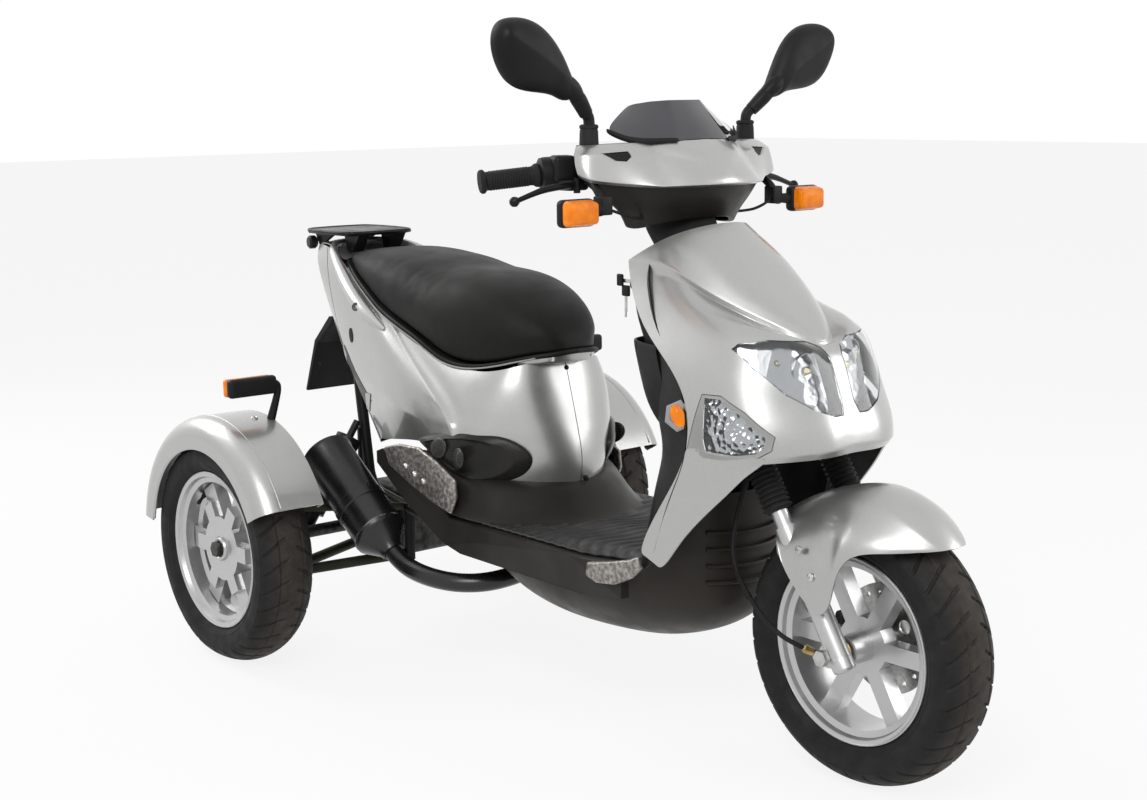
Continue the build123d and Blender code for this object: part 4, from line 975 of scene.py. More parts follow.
def tyre_rubber(name, centre_x):
    """Black rubber, browner and duller along the worn middle of the tread."""
    material, nodes, links, shader = new_material(name)
    place = nodes.new("ShaderNodeTexCoord")
    apart = nodes.new("ShaderNodeSeparateXYZ")
    links.new(place.outputs["Object"], apart.inputs["Vector"])
    off = nodes.new("ShaderNodeMath")
    off.operation = "SUBTRACT"
    off.inputs[1].default_value = centre_x
    links.new(apart.outputs["X"], off.inputs[0])
    width = nodes.new("ShaderNodeMath")
    width.operation = "ABSOLUTE"
    links.new(off.outputs[0], width.inputs[0])
    worn = nodes.new("ShaderNodeMapRange")
    worn.inputs["From Min"].default_value = 0.052
    worn.inputs["From Max"].default_value = 0.018
    links.new(width.outputs[0], worn.inputs["Value"])
    scuffs = object_noise(nodes, links, 60, 6)
    amount = nodes.new("ShaderNodeMath")
    amount.operation = "MULTIPLY"
    links.new(worn.outputs["Result"], amount.inputs[0])
    links.new(scuffs.outputs["Fac"], amount.inputs[1])
    colour = nodes.new("ShaderNodeMixRGB")
    colour.inputs["Color1"].default_value = (0.010, 0.010, 0.010, 1)
    colour.inputs["Color2"].default_value = (0.062, 0.050, 0.040, 1)
    links.new(amount.outputs[0], colour.inputs["Fac"])
    links.new(colour.outputs["Color"], shader.inputs["Base Color"])
    shader.inputs["Specular IOR Level"].default_value = 0.25
    add_wear(nodes, links, shader, 35, 0.55, 0.8)
    add_grain(nodes, links, shader, 600, 0.25)
    return material


def road_tyre(name, centre_x, centre_y, body, *replaced):
    """One tyre, laid as a grid round the hub whose lines follow the grooves."""
    crown = [55 - number * 110 / 30 for number in range(31)]
    section = [(x, r) for x, r in tyre_profile]
    section += [(x, crown_radius * (math.cos(math.asin(x / crown_radius)) - 1) + 236) for x in crown]
    section += [(-x, r) for x, r in reversed(tyre_profile)]
    section += [(-36, 163), (0, 166), (36, 163), tyre_profile[0]]
    around = tread_pitches * lines_in_pitch
    clear_selection()
    bpy.ops.mesh.primitive_grid_add(x_subdivisions=len(section) - 1, y_subdivisions=around, size=1)
    tyre = bpy.context.object
    tyre.name = name
    for number, vertex in enumerate(tyre.data.vertices):
        line, place = divmod(number, len(section))
        x, radius = section[place]
        share = min(abs(x) / 55, 1)
        turn = 2 * math.pi * (line / around + 0.8 * share ** 1.5 / tread_pitches)
        outer = radius > 207 and place < len(section) - 4
        if outer and (line % lines_in_pitch) - (0 if x > 0 else 7) in (0, 1):
            radius -= 4.2 * eased(share, 0.12, 0.2) * (0.55 if radius < 213 else 1)
        if outer and 0.40 < share < 0.47:
            radius -= 2.6
        vertex.co = ((centre_x + x) / 1000, (centre_y + radius * math.cos(turn)) / 1000,
                     (236 + radius * math.sin(turn)) / 1000)
    settle(tyre, 28)
    dress(tyre, tyre_rubber(name + "_rubber", centre_x / 1000), body, *replaced, slot="tyre")


road_tyre("front_road_tyre", 0, -700, "front_wheel", "front_tyre")
road_tyre("rear_road_tyre_right", -451, 611, "rear_wheel_right", "rear_tyre_right")
road_tyre("rear_road_tyre_left", 451, 611, "rear_wheel_left", "rear_tyre_left")

# Valves and wheel centres: rubber valves with capped stems, and pressed bright caps on the hubs.
# A thin turned lip runs round each rim edge.
wheel_paint = metallic_paint("wheel_silver", (0.42, 0.42, 0.42), (0.56, 0.56, 0.56))
for name, x, y, body, faces in (("front", 0, -700, "front_wheel", (-1, 1)),
                                ("rear_right", -451, 611, "rear_wheel_right", (-1,)),
                                ("rear_left", 451, 611, "rear_wheel_left", (1,))):
    lips = []
    for face in (-1, 1):
        lips.append(turned("lip", [(45.5, 151), (45.5, 160), (49, 161), (50, 159), (48.5, 157), (47.5, 152)],
                           (x, y, 236), (face, 0, 0), 72))
    lip = join(f"{name}_rim_lips", *lips)
    dress(lip, wheel_paint, body, slot="silver_paint")
    side = faces[0]
    stem = turned("valve", [(0, 0), (0, 5.5), (10, 5), (12, 3.6), (24, 3.2), (24.5, 4.2), (33, 4), (34, 0)],
                  (x + side * 8, y + 96, 236 + 96), (side * 0.8, -0.45, -0.45), 16)
    stem.name = f"{name}_valve"
    dress(stem, black_rubber, body, slot="rubber")
front_cap = turned("front_hub_ring", [(-57, 20), (-57, 25), (-59.5, 26), (-60.5, 24), (-60, 20)], (0, -700, 236),
                   (1, 0, 0), 40)
dress(front_cap, wheel_paint, "front_wheel", slot="silver_paint")
for side, body, name in ((-1, "rear_wheel_right", "rear_hub_right"), (1, "rear_wheel_left", "rear_hub_left")):
    ring = turned(name, [(29, 17), (29, 26), (33, 25.5), (36, 23), (36.5, 20), (33, 17)], (side * 451, 611, 236),
                  (side, 0, 0), 40)
    dress(ring, wheel_paint, body, slot="silver_paint")

# Seat: one two-level cushion of black vinyl over foam, pulled down over a moulded base.
# The rider's part is lower and wider; a thin light piping runs round its lower edge.
seat_stations = [(44, 653, 679, 30), (54, 650, 698, 56), (72, 647, 719, 79), (100, 640, 741, 101), (140, 629, 762, 125),
                 (185, 621, 780, 142), (230, 620, 792, 154), (275, 628, 797, 161), (315, 645, 798, 164),
                 (352, 662, 799, 165), (395, 676, 806, 164), (440, 690, 814, 162), (500, 709, 820, 155),
                 (560, 739, 824, 146), (620, 763, 823, 131), (675, 784, 818, 110), (715, 790, 811, 88),
                 (742, 792, 804, 60)]


def seat_section(y, low, top, half, shrink=0.0):
    """Half a section of the cushion, from the middle of its flat base over the side to the crown."""
    low, top, half = low + shrink, top - shrink, half - shrink
    tall = top - low
    return [(0, y, low), (half * 0.5, y, low), (half * 0.9, y, low), (half * 0.985, y, low + 0.05 * tall),
            (half, y, low + 0.3 * tall), (half * 0.975, y, low + 0.56 * tall), (half * 0.88, y, low + 0.77 * tall),
            (half * 0.67, y, low + 0.91 * tall), (half * 0.36, y, low + 0.985 * tall), (0, y, top)]


shrink = 4
seat_rows = [[(0, 40 + shrink, 664)] * 10] + [seat_section(*station, shrink) for station in seat_stations]
seat_rows += [[(0, 762 - shrink, 797)] * 10]
seat = lay_skin("seat_cushion_cover", seat_rows, (0, 300, 720), smooth=2)
settle(seat, 60)
modify(seat, "REMESH", mode="VOXEL", voxel_size=0.006)
rest = [vertex.co.copy() for vertex in seat.data.vertices]
facing = [vertex.normal.z for vertex in seat.data.vertices]
cover = seat.modifiers.new("cover", "CLOTH")
cover.settings.quality = 5
cover.settings.mass = 0.3
cover.settings.tension_stiffness = 15
cover.settings.compression_stiffness = 15
cover.settings.bending_stiffness = 0.5
cover.settings.use_pressure = True
cover.settings.uniform_pressure_force = 4
cover.settings.effector_weights.gravity = 0
for number in range(1, 21):
    bpy.context.scene.frame_set(number)
pick(seat)
bpy.ops.object.modifier_apply(modifier=cover.name)
bpy.context.scene.frame_set(1)
for vertex, start, lift in zip(seat.data.vertices, rest, facing):
    moved = vertex.co - start
    most = 0.005 if lift > -0.5 else 0.0005
    if moved.length > most:
        moved = moved.normalized() * most
    vertex.co = start + moved
modify(seat, "SMOOTH", factor=0.5, iterations=6)
modify(seat, "SUBSURF", levels=1, render_levels=1)
pick(seat)
bpy.ops.object.shade_smooth()
vinyl, nodes, links, shader = new_material("black_vinyl")
add_tones(nodes, links, shader, (0.006, 0.006, 0.0055), (0.010, 0.010, 0.009), 6)
shader.inputs["Specular IOR Level"].default_value = 0.16
shader.inputs["Sheen Weight"].default_value = 0.02
shader.inputs["Sheen Roughness"].default_value = 0.6
add_wear(nodes, links, shader, 16, 0.46, 0.6)
place = nodes.new("ShaderNodeTexCoord")
creases = nodes.new("ShaderNodeTexVoronoi")
creases.feature = "DISTANCE_TO_EDGE"
creases.inputs["Scale"].default_value = 620
bump = nodes.new("ShaderNodeBump")
bump.inputs["Strength"].default_value = 0.3
bump.inputs["Distance"].default_value = 0.0003
links.new(place.outputs["Object"], creases.inputs["Vector"])
links.new(creases.outputs["Distance"], bump.inputs["Height"])
links.new(bump.outputs["Normal"], shader.inputs["Normal"])
dress(seat, vinyl, "seat", "seat_cushion", slot="black_plastic")

# Seat base: black moulding whose lip shows under the cover, with a light piping clipped round it.
# The pan is one moulding and closes the cushion from below.
piping_paint = plastic("light_piping", (0.30, 0.30, 0.28), (0.38, 0.38, 0.36), 0.4, 0.5)
lip_points = [(0, 44, 653)] + [(half * 0.95, y + 2, low - 1) for y, low, top, half in seat_stations] + [(0, 764, 791)]
lip = bar("seat_base_lip", lip_points, 5, 6)
both_sides(lip)
pan_rows = [[(half * share, y, low - 1 - 4 * (1 - share)) for share in (0, 0.5, 0.85, 0.97)]
            for y, low, top, half in seat_stations]
pan = lay_skin("seat_base_pan", pan_rows, (0, 300, 800), smooth=1)
thicken(pan, 3)
dress(pan, black_plastic, "seat", "seat_base", slot="black_plastic")
dress(lip, black_plastic, "seat", slot="black_plastic")
piping = bar("seat_piping", [(x * 1.04 + 1.5, y, z - 3) for x, y, z in lip_points[3:-3]], 1.7, 6)
both_sides(piping)
dress(piping, piping_paint, "seat", slot="black_plastic")

# Seat front valance: a small silver lip of the seat base that hides its hinge.
# It is painted like the body panels and opens with the seat.
valance_rows = [
    [(0, 43, 651), (30, 46, 651), (54, 56, 650), (74, 76, 647), (92, 98, 642)],
    [(0, 46, 640), (30, 49, 640), (56, 60, 639), (77, 82, 636), (94, 106, 632)],
    [(0, 50, 631), (32, 53, 631), (58, 64, 631), (79, 88, 629), (96, 112, 626)],
    [(0, 62, 629), (34, 64, 629), (56, 74, 629), (74, 96, 628), (88, 118, 625)],
]
valance = lay_skin("seat_front_valance", valance_rows, (0, 90, 660), smooth=2)
thicken(valance, 2)
dress(valance, silver_paint, "seat", slot="silver_paint")

# Body panels: silver mouldings under the seat, closed at the front by a seam with two screws.
# A raised haunch with a sharp front edge runs from the tail down to the vents.
body_columns = [
    [(0, 84, 640), (0, 68, 590), (0, 55, 545), (0, 41, 497), (0, 24, 440), (0, 34, 394)],
    [(48, 84, 640), (51, 69, 591), (54, 58, 546), (56, 46, 497), (55, 36, 439), (50, 47, 393)],
    [(91, 95, 630), (98, 84, 592), (102, 77, 546), (104, 72, 497), (101, 69, 438), (91, 78, 391)],
    [(122, 120, 620), (132, 113, 593), (140, 110, 547), (142, 110, 497), (136, 114, 437), (121, 117, 390)],
    [(144, 178, 609), (156, 163, 591), (166, 148, 547), (168, 138, 500), (162, 138, 437), (145, 137, 392)],
    [(156, 290, 625), (165, 231, 594), (175, 190, 550), (178, 164, 506), (174, 158, 439), (158, 156, 394)],
    [(153, 420, 668), (160, 321, 607), (172, 233, 552), (182, 188, 510), (183, 173, 444), (167, 167, 400)],
    [(156, 456, 689), (174, 348, 610), (190, 250, 553), (195, 200, 511), (188, 182, 445), (171, 175, 403)],
    [(151, 510, 704), (171, 420, 640), (187, 330, 575), (194, 270, 508), (189, 230, 456), (177, 215, 430)],
    [(143, 560, 726), (166, 480, 668), (182, 400, 600), (189, 340, 514), (183, 300, 474), (179, 290, 464)],
    [(133, 620, 756), (156, 545, 694), (169, 480, 622), (175, 430, 524), (168, 400, 480), (167, 392, 452)],
    [(119, 680, 790), (140, 612, 722), (153, 555, 644), (157, 510, 540), (151, 480, 484), (152, 470, 440)],
    [(103, 740, 812), (124, 692, 752), (134, 647, 666), (138, 595, 556), (134, 547, 488), (136, 525, 430)],
    [(88, 800, 822), (106, 769, 776), (114, 739, 690), (118, 675, 572), (117, 614, 492), (118, 566, 424)],
    [(70, 852, 820), (88, 844, 790), (92, 794, 700), (96, 720, 580), (100, 650, 500), (102, 582, 410)],
    [(40, 866, 818), (60, 872, 786), (60, 820, 700), (60, 742, 584), (60, 672, 505), (60, 598, 412)],
    [(0, 870, 818), (0, 880, 786), (0, 828, 700), (0, 748, 586), (0, 676, 506), (0, 602, 412)],
]
body_skin = lay_skin("body_skin", [list(row) for row in zip(*body_columns)], (0, 420, 600), sharp_rows=(3,),
                     sharp_columns=(7, 14), sharpness=0.85)
body_panels = copy_piece(body_skin, "body_panels")
thicken(body_panels, 3)
for outline, axis, start, end in (
        ([(-0.9, 0), (0.9, 0), (0.9, 110), (-0.9, 110)], "z", 300, 700),
        ([(812, 900), (815, 900), (600, 300), (597, 300)], "x", -300, 300)):
    cut(body_panels, cutter("seam_cut", outline, axis, start, end))
settle(body_panels)
dress(body_panels, silver_paint, "chassis", "side_panels", "tail_panel", slot="silver_paint")
body_screws = join("body_screws", screw((0, 76, 617), (0, -1, 0.3), 5), screw((8, 30, 402), (0, -1, 0.1), 6))
dress(body_screws, black_enamel, "chassis", slot="black_frame")
tail_top_rows = [
    [(70, 852, 819), (40, 866, 817), (0, 870, 817)],
    [(72, 838, 824), (40, 846, 829), (0, 848, 831)],
    [(78, 800, 826), (44, 806, 832), (0, 808, 834)],
    [(88, 750, 812), (48, 762, 812), (0, 766, 810)],
    [(84, 740, 790), (44, 750, 790), (0, 754, 790)],
]
tail_top = lay_skin("tail_top", tail_top_rows, (0, 780, 700), smooth=2)
thicken(tail_top, 2.5)
dress(tail_top, silver_paint, "chassis", slot="silver_paint")

# Side plugs and flashes: an oval rubber plug and a dark printed flash with light squares on each haunch.
# The flashes are thin film laid on the body, and each plug closes a bolt hole.
flash_paint = plastic("dark_flash", (0.045, 0.042, 0.036), (0.060, 0.056, 0.048), 0.3, 0.4)
square_paint = plastic("light_flash", (0.62, 0.62, 0.60), (0.70, 0.70, 0.68), 0.3, 0.4)


def lay_on_body(name, outline, material, out, slot):
    """A thin sheet cut from the body's own surface, on both sides, standing out by a little."""
    sheet = copy_piece(body_skin, name)
    sheet.data.transform(Matrix.Diagonal((out, 1, 1, 1)))
    thicken(sheet, 1)
    tool = cutter("near", outline, "x", -300, -60)
    cut(tool, cutter("far", outline, "x", 60, 300), "UNION")
    cut(sheet, tool, "INTERSECT")
    settle(sheet)
    dress(sheet, material, "chassis", slot=slot)


lay_on_body("side_flashes", [(690, 612), (712, 584), (668, 524), (612, 482), (566, 506), (596, 528), (640, 566)],
            flash_paint, 1.008, "dark_grey_plastic")
lay_on_body("side_flash_squares", [(560, 522), (592, 520), (618, 480), (594, 478)], square_paint, 1.014, "silver_paint")
lay_on_body("side_flash_squares_upper", [(684, 592), (700, 610), (712, 582), (700, 566)], square_paint, 1.014,
            "silver_paint")
lay_on_body("side_plugs", [(636 + 10 * math.cos(a * math.pi / 8), 640 + 16 * math.sin(a * math.pi / 8))
                           for a in range(16)], black_rubber, 1.01, "rubber")

# Side vents: black teardrop mouldings wrapped round the lower front corners of the body.
# Each has a raised rim and a sunk middle with two honeycomb scoops.
vent_points = [(190, 309, 473), (187, 247, 489), (173, 190, 498), (157, 141, 499), (135, 106, 493), (117, 86, 481),
               (102, 67, 464), (95, 64, 447), (97, 75, 426), (106, 97, 408), (125, 129, 395), (140, 155, 390),
               (155, 175, 397), (170, 195, 408), (182, 227, 429), (188, 262, 450), (190, 290, 464), (190, 309, 473)]
vent_middle = Vector((196, 190, 450))


def vent_ring(share, out, shift=(0, 0, 0)):
    """A ring inside the outline, lifted off the body by out millimetres."""
    ring = []
    for point in vent_points:
        spot = Vector(point).lerp(vent_middle, share) + Vector(shift) * share
        bulge = 22 * share * (1 - share) * max(0.0, (230 - point[1]) / 100)
        slope = Vector((1, -max(0.0, (210 - spot.y) / 120), 0)).normalized()
        ring.append(tuple(spot + slope * (out * (0.45 + 0.55 * eased(spot.y, 90, 240)) + bulge)))
    return ring


vent_rows = [vent_ring(0, -8), vent_ring(0, 7), vent_ring(0.03, 13), vent_ring(0.12, 16), vent_ring(0.24, 18),
             vent_ring(0.30, 18, (0, 26, 8)), vent_ring(0.36, 13, (0, 26, 8)), vent_ring(0.7, 12, (0, 18, 6)),
             [tuple(vent_middle + Vector((9, 14, 6)))] * len(vent_points)]
vent_shell = lay_skin("side_vent_shells", vent_rows, (0, 200, 450), sharp_rows=(1, 4, 6), smooth=2, sharpness=0.6)
settle(vent_shell, 40)
vent_hole = [tuple(Vector(point).lerp(vent_middle, 0.16))[1:] for point in vent_points[:-1]]
for side in (1, -1):
    cut(body_panels, cutter("vent_hole", vent_hole, "x", 84 * side, 260 * side))
settle(body_panels)
vent_gloss = plastic("vent_black", (0.014, 0.014, 0.013), (0.024, 0.023, 0.021), 0.24, 0.36, 900, 0.08)
dress(vent_shell, vent_gloss, "chassis", "side_vents", slot="black_plastic")
honeycomb, nodes, links, shader = new_material("honeycomb_black")
place = nodes.new("ShaderNodeTexCoord")
cells = nodes.new("ShaderNodeTexVoronoi")
cells.feature = "DISTANCE_TO_EDGE"
cells.inputs["Scale"].default_value = 190
cells.inputs["Randomness"].default_value = 0.15
# Painted shade: the ramp darkens each cell's hollow to near black and leaves it lighter along the walls.
wall = nodes.new("ShaderNodeValToRGB")
wall.color_ramp.elements[0].position = 0.06
wall.color_ramp.elements[0].color = (0.055, 0.055, 0.052, 1)
wall.color_ramp.elements[1].position = 0.14
wall.color_ramp.elements[1].color = (0.006, 0.006, 0.006, 1)
bump = nodes.new("ShaderNodeBump")
bump.invert = True
bump.inputs["Strength"].default_value = 0.8
bump.inputs["Distance"].default_value = 0.001
links.new(place.outputs["Object"], cells.inputs["Vector"])
links.new(cells.outputs["Distance"], wall.inputs["Fac"])
links.new(cells.outputs["Distance"], bump.inputs["Height"])
links.new(wall.outputs["Color"], shader.inputs["Base Color"])
links.new(bump.outputs["Normal"], shader.inputs["Normal"])
shader.inputs["Roughness"].default_value = 0.35
shader.inputs["Specular IOR Level"].default_value = 0.3
scoops = []
for y, z, long in ((228, 462, 52), (168, 449, 50)):
    clear_selection()
    bpy.ops.mesh.primitive_uv_sphere_add(segments=32, ring_count=20, radius=0.001)
    scoop = bpy.context.object
    x = 204 if y > 200 else 200
    turn = 4 if y > 200 else 16
    scoop.data.transform(Matrix.Translation(Vector((x, y, z)) / 1000) @ Matrix.Rotation(math.radians(turn), 4, "Z")
                         @ Matrix.Rotation(math.radians(-24), 4, "X") @ Matrix.Diagonal((6, long * 0.6, 21, 1)))
    scoops.append(scoop)
scoops = join("vent_scoops", *scoops)
both_sides(scoops)
dress(scoops, honeycomb, "chassis", slot="black_plastic")

# Grab rail: a cast silver loop round the back of the seat, bolted through the haunch on each side.
# It is painted silver, and its bolts are left dark.
dark_alloy = metal("dark_cast_alloy", (0.05, 0.05, 0.048), (0.11, 0.11, 0.105), 0.45, 0.65, 90, 260, 0.4)
rail_points = [(160, 468, 670), (164, 510, 690), (161, 560, 716), (150, 615, 745), (134, 668, 774), (118, 715, 802),
               (96, 758, 818), (60, 786, 824), (0, 794, 826)]
grab_rail = bar("grab_rail", rail_points, [5, 14, 15, 14, 12, 10, 9, 9, 9], 10)
both_sides(grab_rail)
dress(grab_rail, wheel_paint, "chassis", "grab_handles", slot="silver_paint")
rail_bolts = turned("grab_rail_bolts", [(-4, 0), (-4, 9), (1, 9), (2.4, 7), (1.4, 4), (0.6, 0)], (175, 552, 712),
                    (1, -0.3, 0.3), 24)
both_sides(rail_bolts)
dress(rail_bolts, dark_alloy, "chassis", slot="steel")
bpy.data.objects.remove(body_skin)

# Inner leg shield: black grained moulding behind the front shield, fixed to it along the rim.
# It holds the ignition lock and an open pocket across its middle.
inner_rows = [
    [(0, -262, 884), (50, -268, 881), (90, -282, 872), (116, -296, 862), (128, -306, 856), (134, -312, 850)],
    [(0, -212, 846), (50, -217, 845), (90, -236, 840), (118, -276, 835), (134, -306, 832), (143, -318, 830)],
    [(0, -196, 806), (50, -200, 806), (90, -216, 806), (124, -268, 806), (142, -310, 806), (152, -334, 806)],
    [(0, -204, 750), (50, -208, 750), (94, -226, 750), (134, -290, 750), (158, -345, 750), (168, -360, 750)],
    [(0, -262, 690), (52, -264, 690), (100, -276, 690), (140, -318, 690), (168, -390, 690), (184, -430, 700)],
    [(0, -282, 620), (54, -284, 620), (104, -294, 620), (146, -330, 620), (178, -410, 622), (197, -470, 620)],
    [(0, -308, 565), (56, -310, 565), (108, -318, 565), (150, -352, 565), (184, -420, 566), (200, -474, 566)],
    [(0, -322, 530), (56, -324, 530), (112, -334, 530), (158, -366, 530), (190, -425, 528), (203, -465, 526)],
    [(0, -330, 474), (58, -330, 474), (118, -332, 474), (166, -350, 472), (197, -400, 470), (206, -436, 468)],
    [(0, -322, 400), (60, -322, 400), (122, -324, 400), (172, -340, 400), (203, -385, 400), (210, -412, 402)],
    [(0, -312, 338), (60, -312, 338), (124, -314, 338), (176, -326, 338), (205, -372, 338), (213, -400, 350)],
]
inner = lay_skin("inner_leg_panel", inner_rows, (0, -600, 600), sharp_columns=(4,), smooth=2, sharpness=0.4)
thicken(inner, 2.5)
dress(inner, black_plastic, "chassis", "inner_leg_shield", slot="black_plastic")


def pocket_ring(z, out, reach):
    """Half a ring of the pocket's wall at a height, from the middle of the wall to the panel."""
    return [(0, -244 - reach + out, z), (70, -246 - reach + out, z), (112, -254 - reach + out * 0.9, z),
            (134 + out * 0.4, -272 - reach + out * 0.6, z), (150 + out * 0.8, -306 - reach, z),
            (160 + out, -360 - reach, z)]


pocket_rows = [pocket_ring(690, -6, 0), pocket_ring(714, -6, 0), pocket_ring(719, -2, 0), pocket_ring(719, 3, 0),
               pocket_ring(712, 5, 0), pocket_ring(660, 3, 14), pocket_ring(610, 2, 30), pocket_ring(572, -2, 62),
               pocket_ring(556, -10, 92)]
pocket = lay_skin("leg_shield_pocket", pocket_rows, (0, -420, 640), sharp_rows=(2, 3), smooth=2, sharpness=0.5)
thicken(pocket, 2.5)
dress(pocket, black_plastic, "chassis", slot="black_plastic")

# Ignition lock: a steel barrel in a black collar on the panel, with its key in it and a spare on the ring.
# The collar is pressed into the panel from the rider's side.
collar = turned("lock_collar", [(-4, 0), (-4, 15), (4, 14), (8, 11), (8, 0)], (-66, -204, 808), (-0.5, 1, 0.2), 28)
dress(collar, black_plastic, "chassis", slot="black_plastic")
barrel = turned("lock_barrel", [(6, 0), (6, 9), (10, 8.5), (10, 0)], (-66, -204, 808), (-0.5, 1, 0.2), 24)
blade = soft_block("key_blade", (-74, -186, 811), (2, 20, 7), 0.6, 2)
spare = soft_block("spare_key", (-74, -184, 770), (2, 6, 30), 0.8, 2)
spare_tip = soft_block("spare_key_tip", (-74, -183, 751), (1.8, 4, 12), 0.6, 2)
keys = join("ignition_keys", barrel, blade, spare, spare_tip)
dress(keys, bare_steel, "chassis", slot="steel")
heads = join("key_heads", soft_block("key_head", (-77, -172, 812), (6, 16, 22), 3, 3),
             soft_block("spare_head", (-74, -184, 793), (6, 20, 20), 3, 3))
dress(heads, black_plastic, "chassis", slot="black_plastic")

# Side reflectors: oval amber lenses in clear-edged bezels on the sides of the inner panel.
# The bezel is pushed into the panel and the lens is set in it.
reflector_centre, reflector_axis = Vector((-196, -452, 614)), Vector((-0.9, -0.42, 0.1))
bezel = turned("side_reflector_bezels", [(-3, 0), (-3, 27), (2, 27), (4, 24), (4, 17), (2, 16), (2, 0)],
               reflector_centre, reflector_axis, 6, 20)
both_sides(bezel)
dress(bezel, bezel_paint, "chassis", slot="black_plastic")
oval = turned("side_reflectors", [(1, 0), (1, 15.5), (5, 15), (7.5, 9), (8.2, 0)], (0, 0, 0), (1, 0, 0), 40)
turn = Vector((1, 0, 0)).rotation_difference(reflector_axis.normalized()).to_matrix().to_4x4()
oval.data.transform(Matrix.Translation(reflector_centre / 1000) @ turn @ Matrix.Diagonal((1, 0.82, 1.3, 1)))
both_sides(oval)
dress(oval, amber, "chassis", slot="amber_lens")

# Floor: a charcoal board with a ribbed black rubber mat laid into it, and a plinth round the body's foot.
# The ripples of the mat run across and wander a little, as they are moulded.
plinth_rows = [
    [(0, 46, 402), (52, 52, 402), (90, 74, 402), (120, 106, 404), (144, 134, 406), (160, 176, 414), (166, 240, 430),
     (172, 320, 446)],
    [(0, 26, 394), (56, 32, 394), (102, 58, 394), (134, 94, 396), (160, 122, 398), (178, 166, 408), (186, 240, 424),
     (192, 320, 440)],
    [(0, 2, 370), (58, 8, 370), (114, 38, 368), (150, 78, 366), (176, 108, 366), (192, 158, 378), (198, 240, 396),
     (202, 320, 414)],
    [(0, -26, 340), (62, -20, 340), (130, 12, 338), (168, 58, 337), (190, 96, 337), (202, 150, 340), (206, 240, 352),
     (208, 320, 378)],
    [(0, -40, 332), (66, -34, 332), (138, 0, 332), (176, 48, 332), (197, 92, 332), (206, 150, 334), (209, 240, 340),
     (210, 320, 366)],
]
plinth = lay_skin("body_plinth", plinth_rows, (0, 200, 350), smooth=2)
thicken(plinth, 2.5)
dress(plinth, grey_plastic, "chassis", slot="dark_grey_plastic")
mat_rubber, nodes, links, shader = new_material("ribbed_mat")
add_tones(nodes, links, shader, (0.010, 0.010, 0.011), (0.034, 0.033, 0.032), 60, 3, 0.3, 0.7)
add_wear(nodes, links, shader, 30, 0.42, 0.6)
shader.inputs["Specular IOR Level"].default_value = 0.3
clear_selection()
bpy.ops.mesh.primitive_grid_add(x_subdivisions=100, y_subdivisions=200, size=1)
mat = bpy.context.object
mat.name = "ribbed_floor_mat"
for vertex in mat.data.vertices:
    x, y = vertex.co.x * 392, -62 + vertex.co.y * 490
    half = 168 + 28 * eased(y, -300, -190)
    across = x / 196 * half
    flow = y + 16 * math.sin(across / 61) + 9 * math.sin(across / 23 + y / 90) + 12 * math.cos(across / 105 + y / 70)
    ripple = 2.2 * math.sin(flow / 4.1) * min(1, (half - abs(across)) / 10)
    vertex.co = (across / 1000, y / 1000, (333.5 + ripple) / 1000)
settle(mat, 60)
modify(mat, "SOLIDIFY", thickness=0.004, offset=-1)
dress(mat, mat_rubber, "chassis", "floor_mat", slot="rubber")

# Belly pan: a bronze-grey moulding like a tub under the floor, rising at the front behind the wheel.
# It is one thin moulded shell, hung from the floor's edges.
belly_paint = plastic("belly_bronze", (0.028, 0.024, 0.020), (0.040, 0.035, 0.030), 0.32, 0.5, 1300, 0.12)
belly_rows = [
    [(0, 112, 262), (60, 112, 262), (112, 110, 262), (150, 106, 262), (168, 100, 262), (172, 96, 266)],
    [(0, 106, 190), (56, 105, 194), (104, 102, 206), (142, 98, 226), (166, 92, 250), (174, 90, 266)],
    [(0, 40, 160), (56, 38, 164), (108, 36, 180), (148, 32, 206), (173, 30, 240), (180, 30, 266)],
    [(0, -60, 147), (56, -60, 151), (112, -60, 168), (154, -60, 198), (178, -60, 236), (186, -60, 262)],
    [(0, -160, 146), (56, -160, 151), (112, -160, 172), (154, -162, 206), (178, -166, 240), (187, -170, 262)],
    [(0, -250, 152), (54, -250, 157), (106, -250, 182), (146, -252, 222), (170, -256, 258), (182, -262, 290)],
    [(0, -330, 174), (50, -329, 178), (96, -326, 200), (130, -322, 240), (152, -318, 280), (168, -316, 330)],
    [(0, -400, 206), (44, -398, 210), (84, -392, 226), (112, -382, 258), (128, -370, 300), (140, -356, 360)],
    [(0, -430, 252), (40, -428, 254), (76, -420, 262), (102, -408, 288), (116, -394, 326), (124, -378, 390)],
    [(0, -434, 330), (38, -432, 330), (72, -425, 334), (96, -413, 350), (110, -398, 376), (116, -384, 420)],
    [(0, -430, 455), (36, -428, 455), (68, -422, 455), (90, -412, 455), (104, -398, 455), (112, -386, 455)],
]
belly = lay_skin("belly_tub", belly_rows, (0, -150, 320), smooth=3)
thicken(belly, 3)
dress(belly, belly_paint, "chassis", "belly_pan", slot="dark_grey_plastic")
belly_ribs = []
for height in (300, 330, 360, 390):
    belly_ribs.append(bar("belly_rib", [(-96, -414, height), (-50, -434, height - 4), (0, -440, height - 6),
                                        (50, -434, height - 4), (96, -414, height)], 3.2, 8))
belly_ribs = join("belly_ribs", *belly_ribs)
dress(belly_ribs, belly_paint, "chassis", slot="dark_grey_plastic")

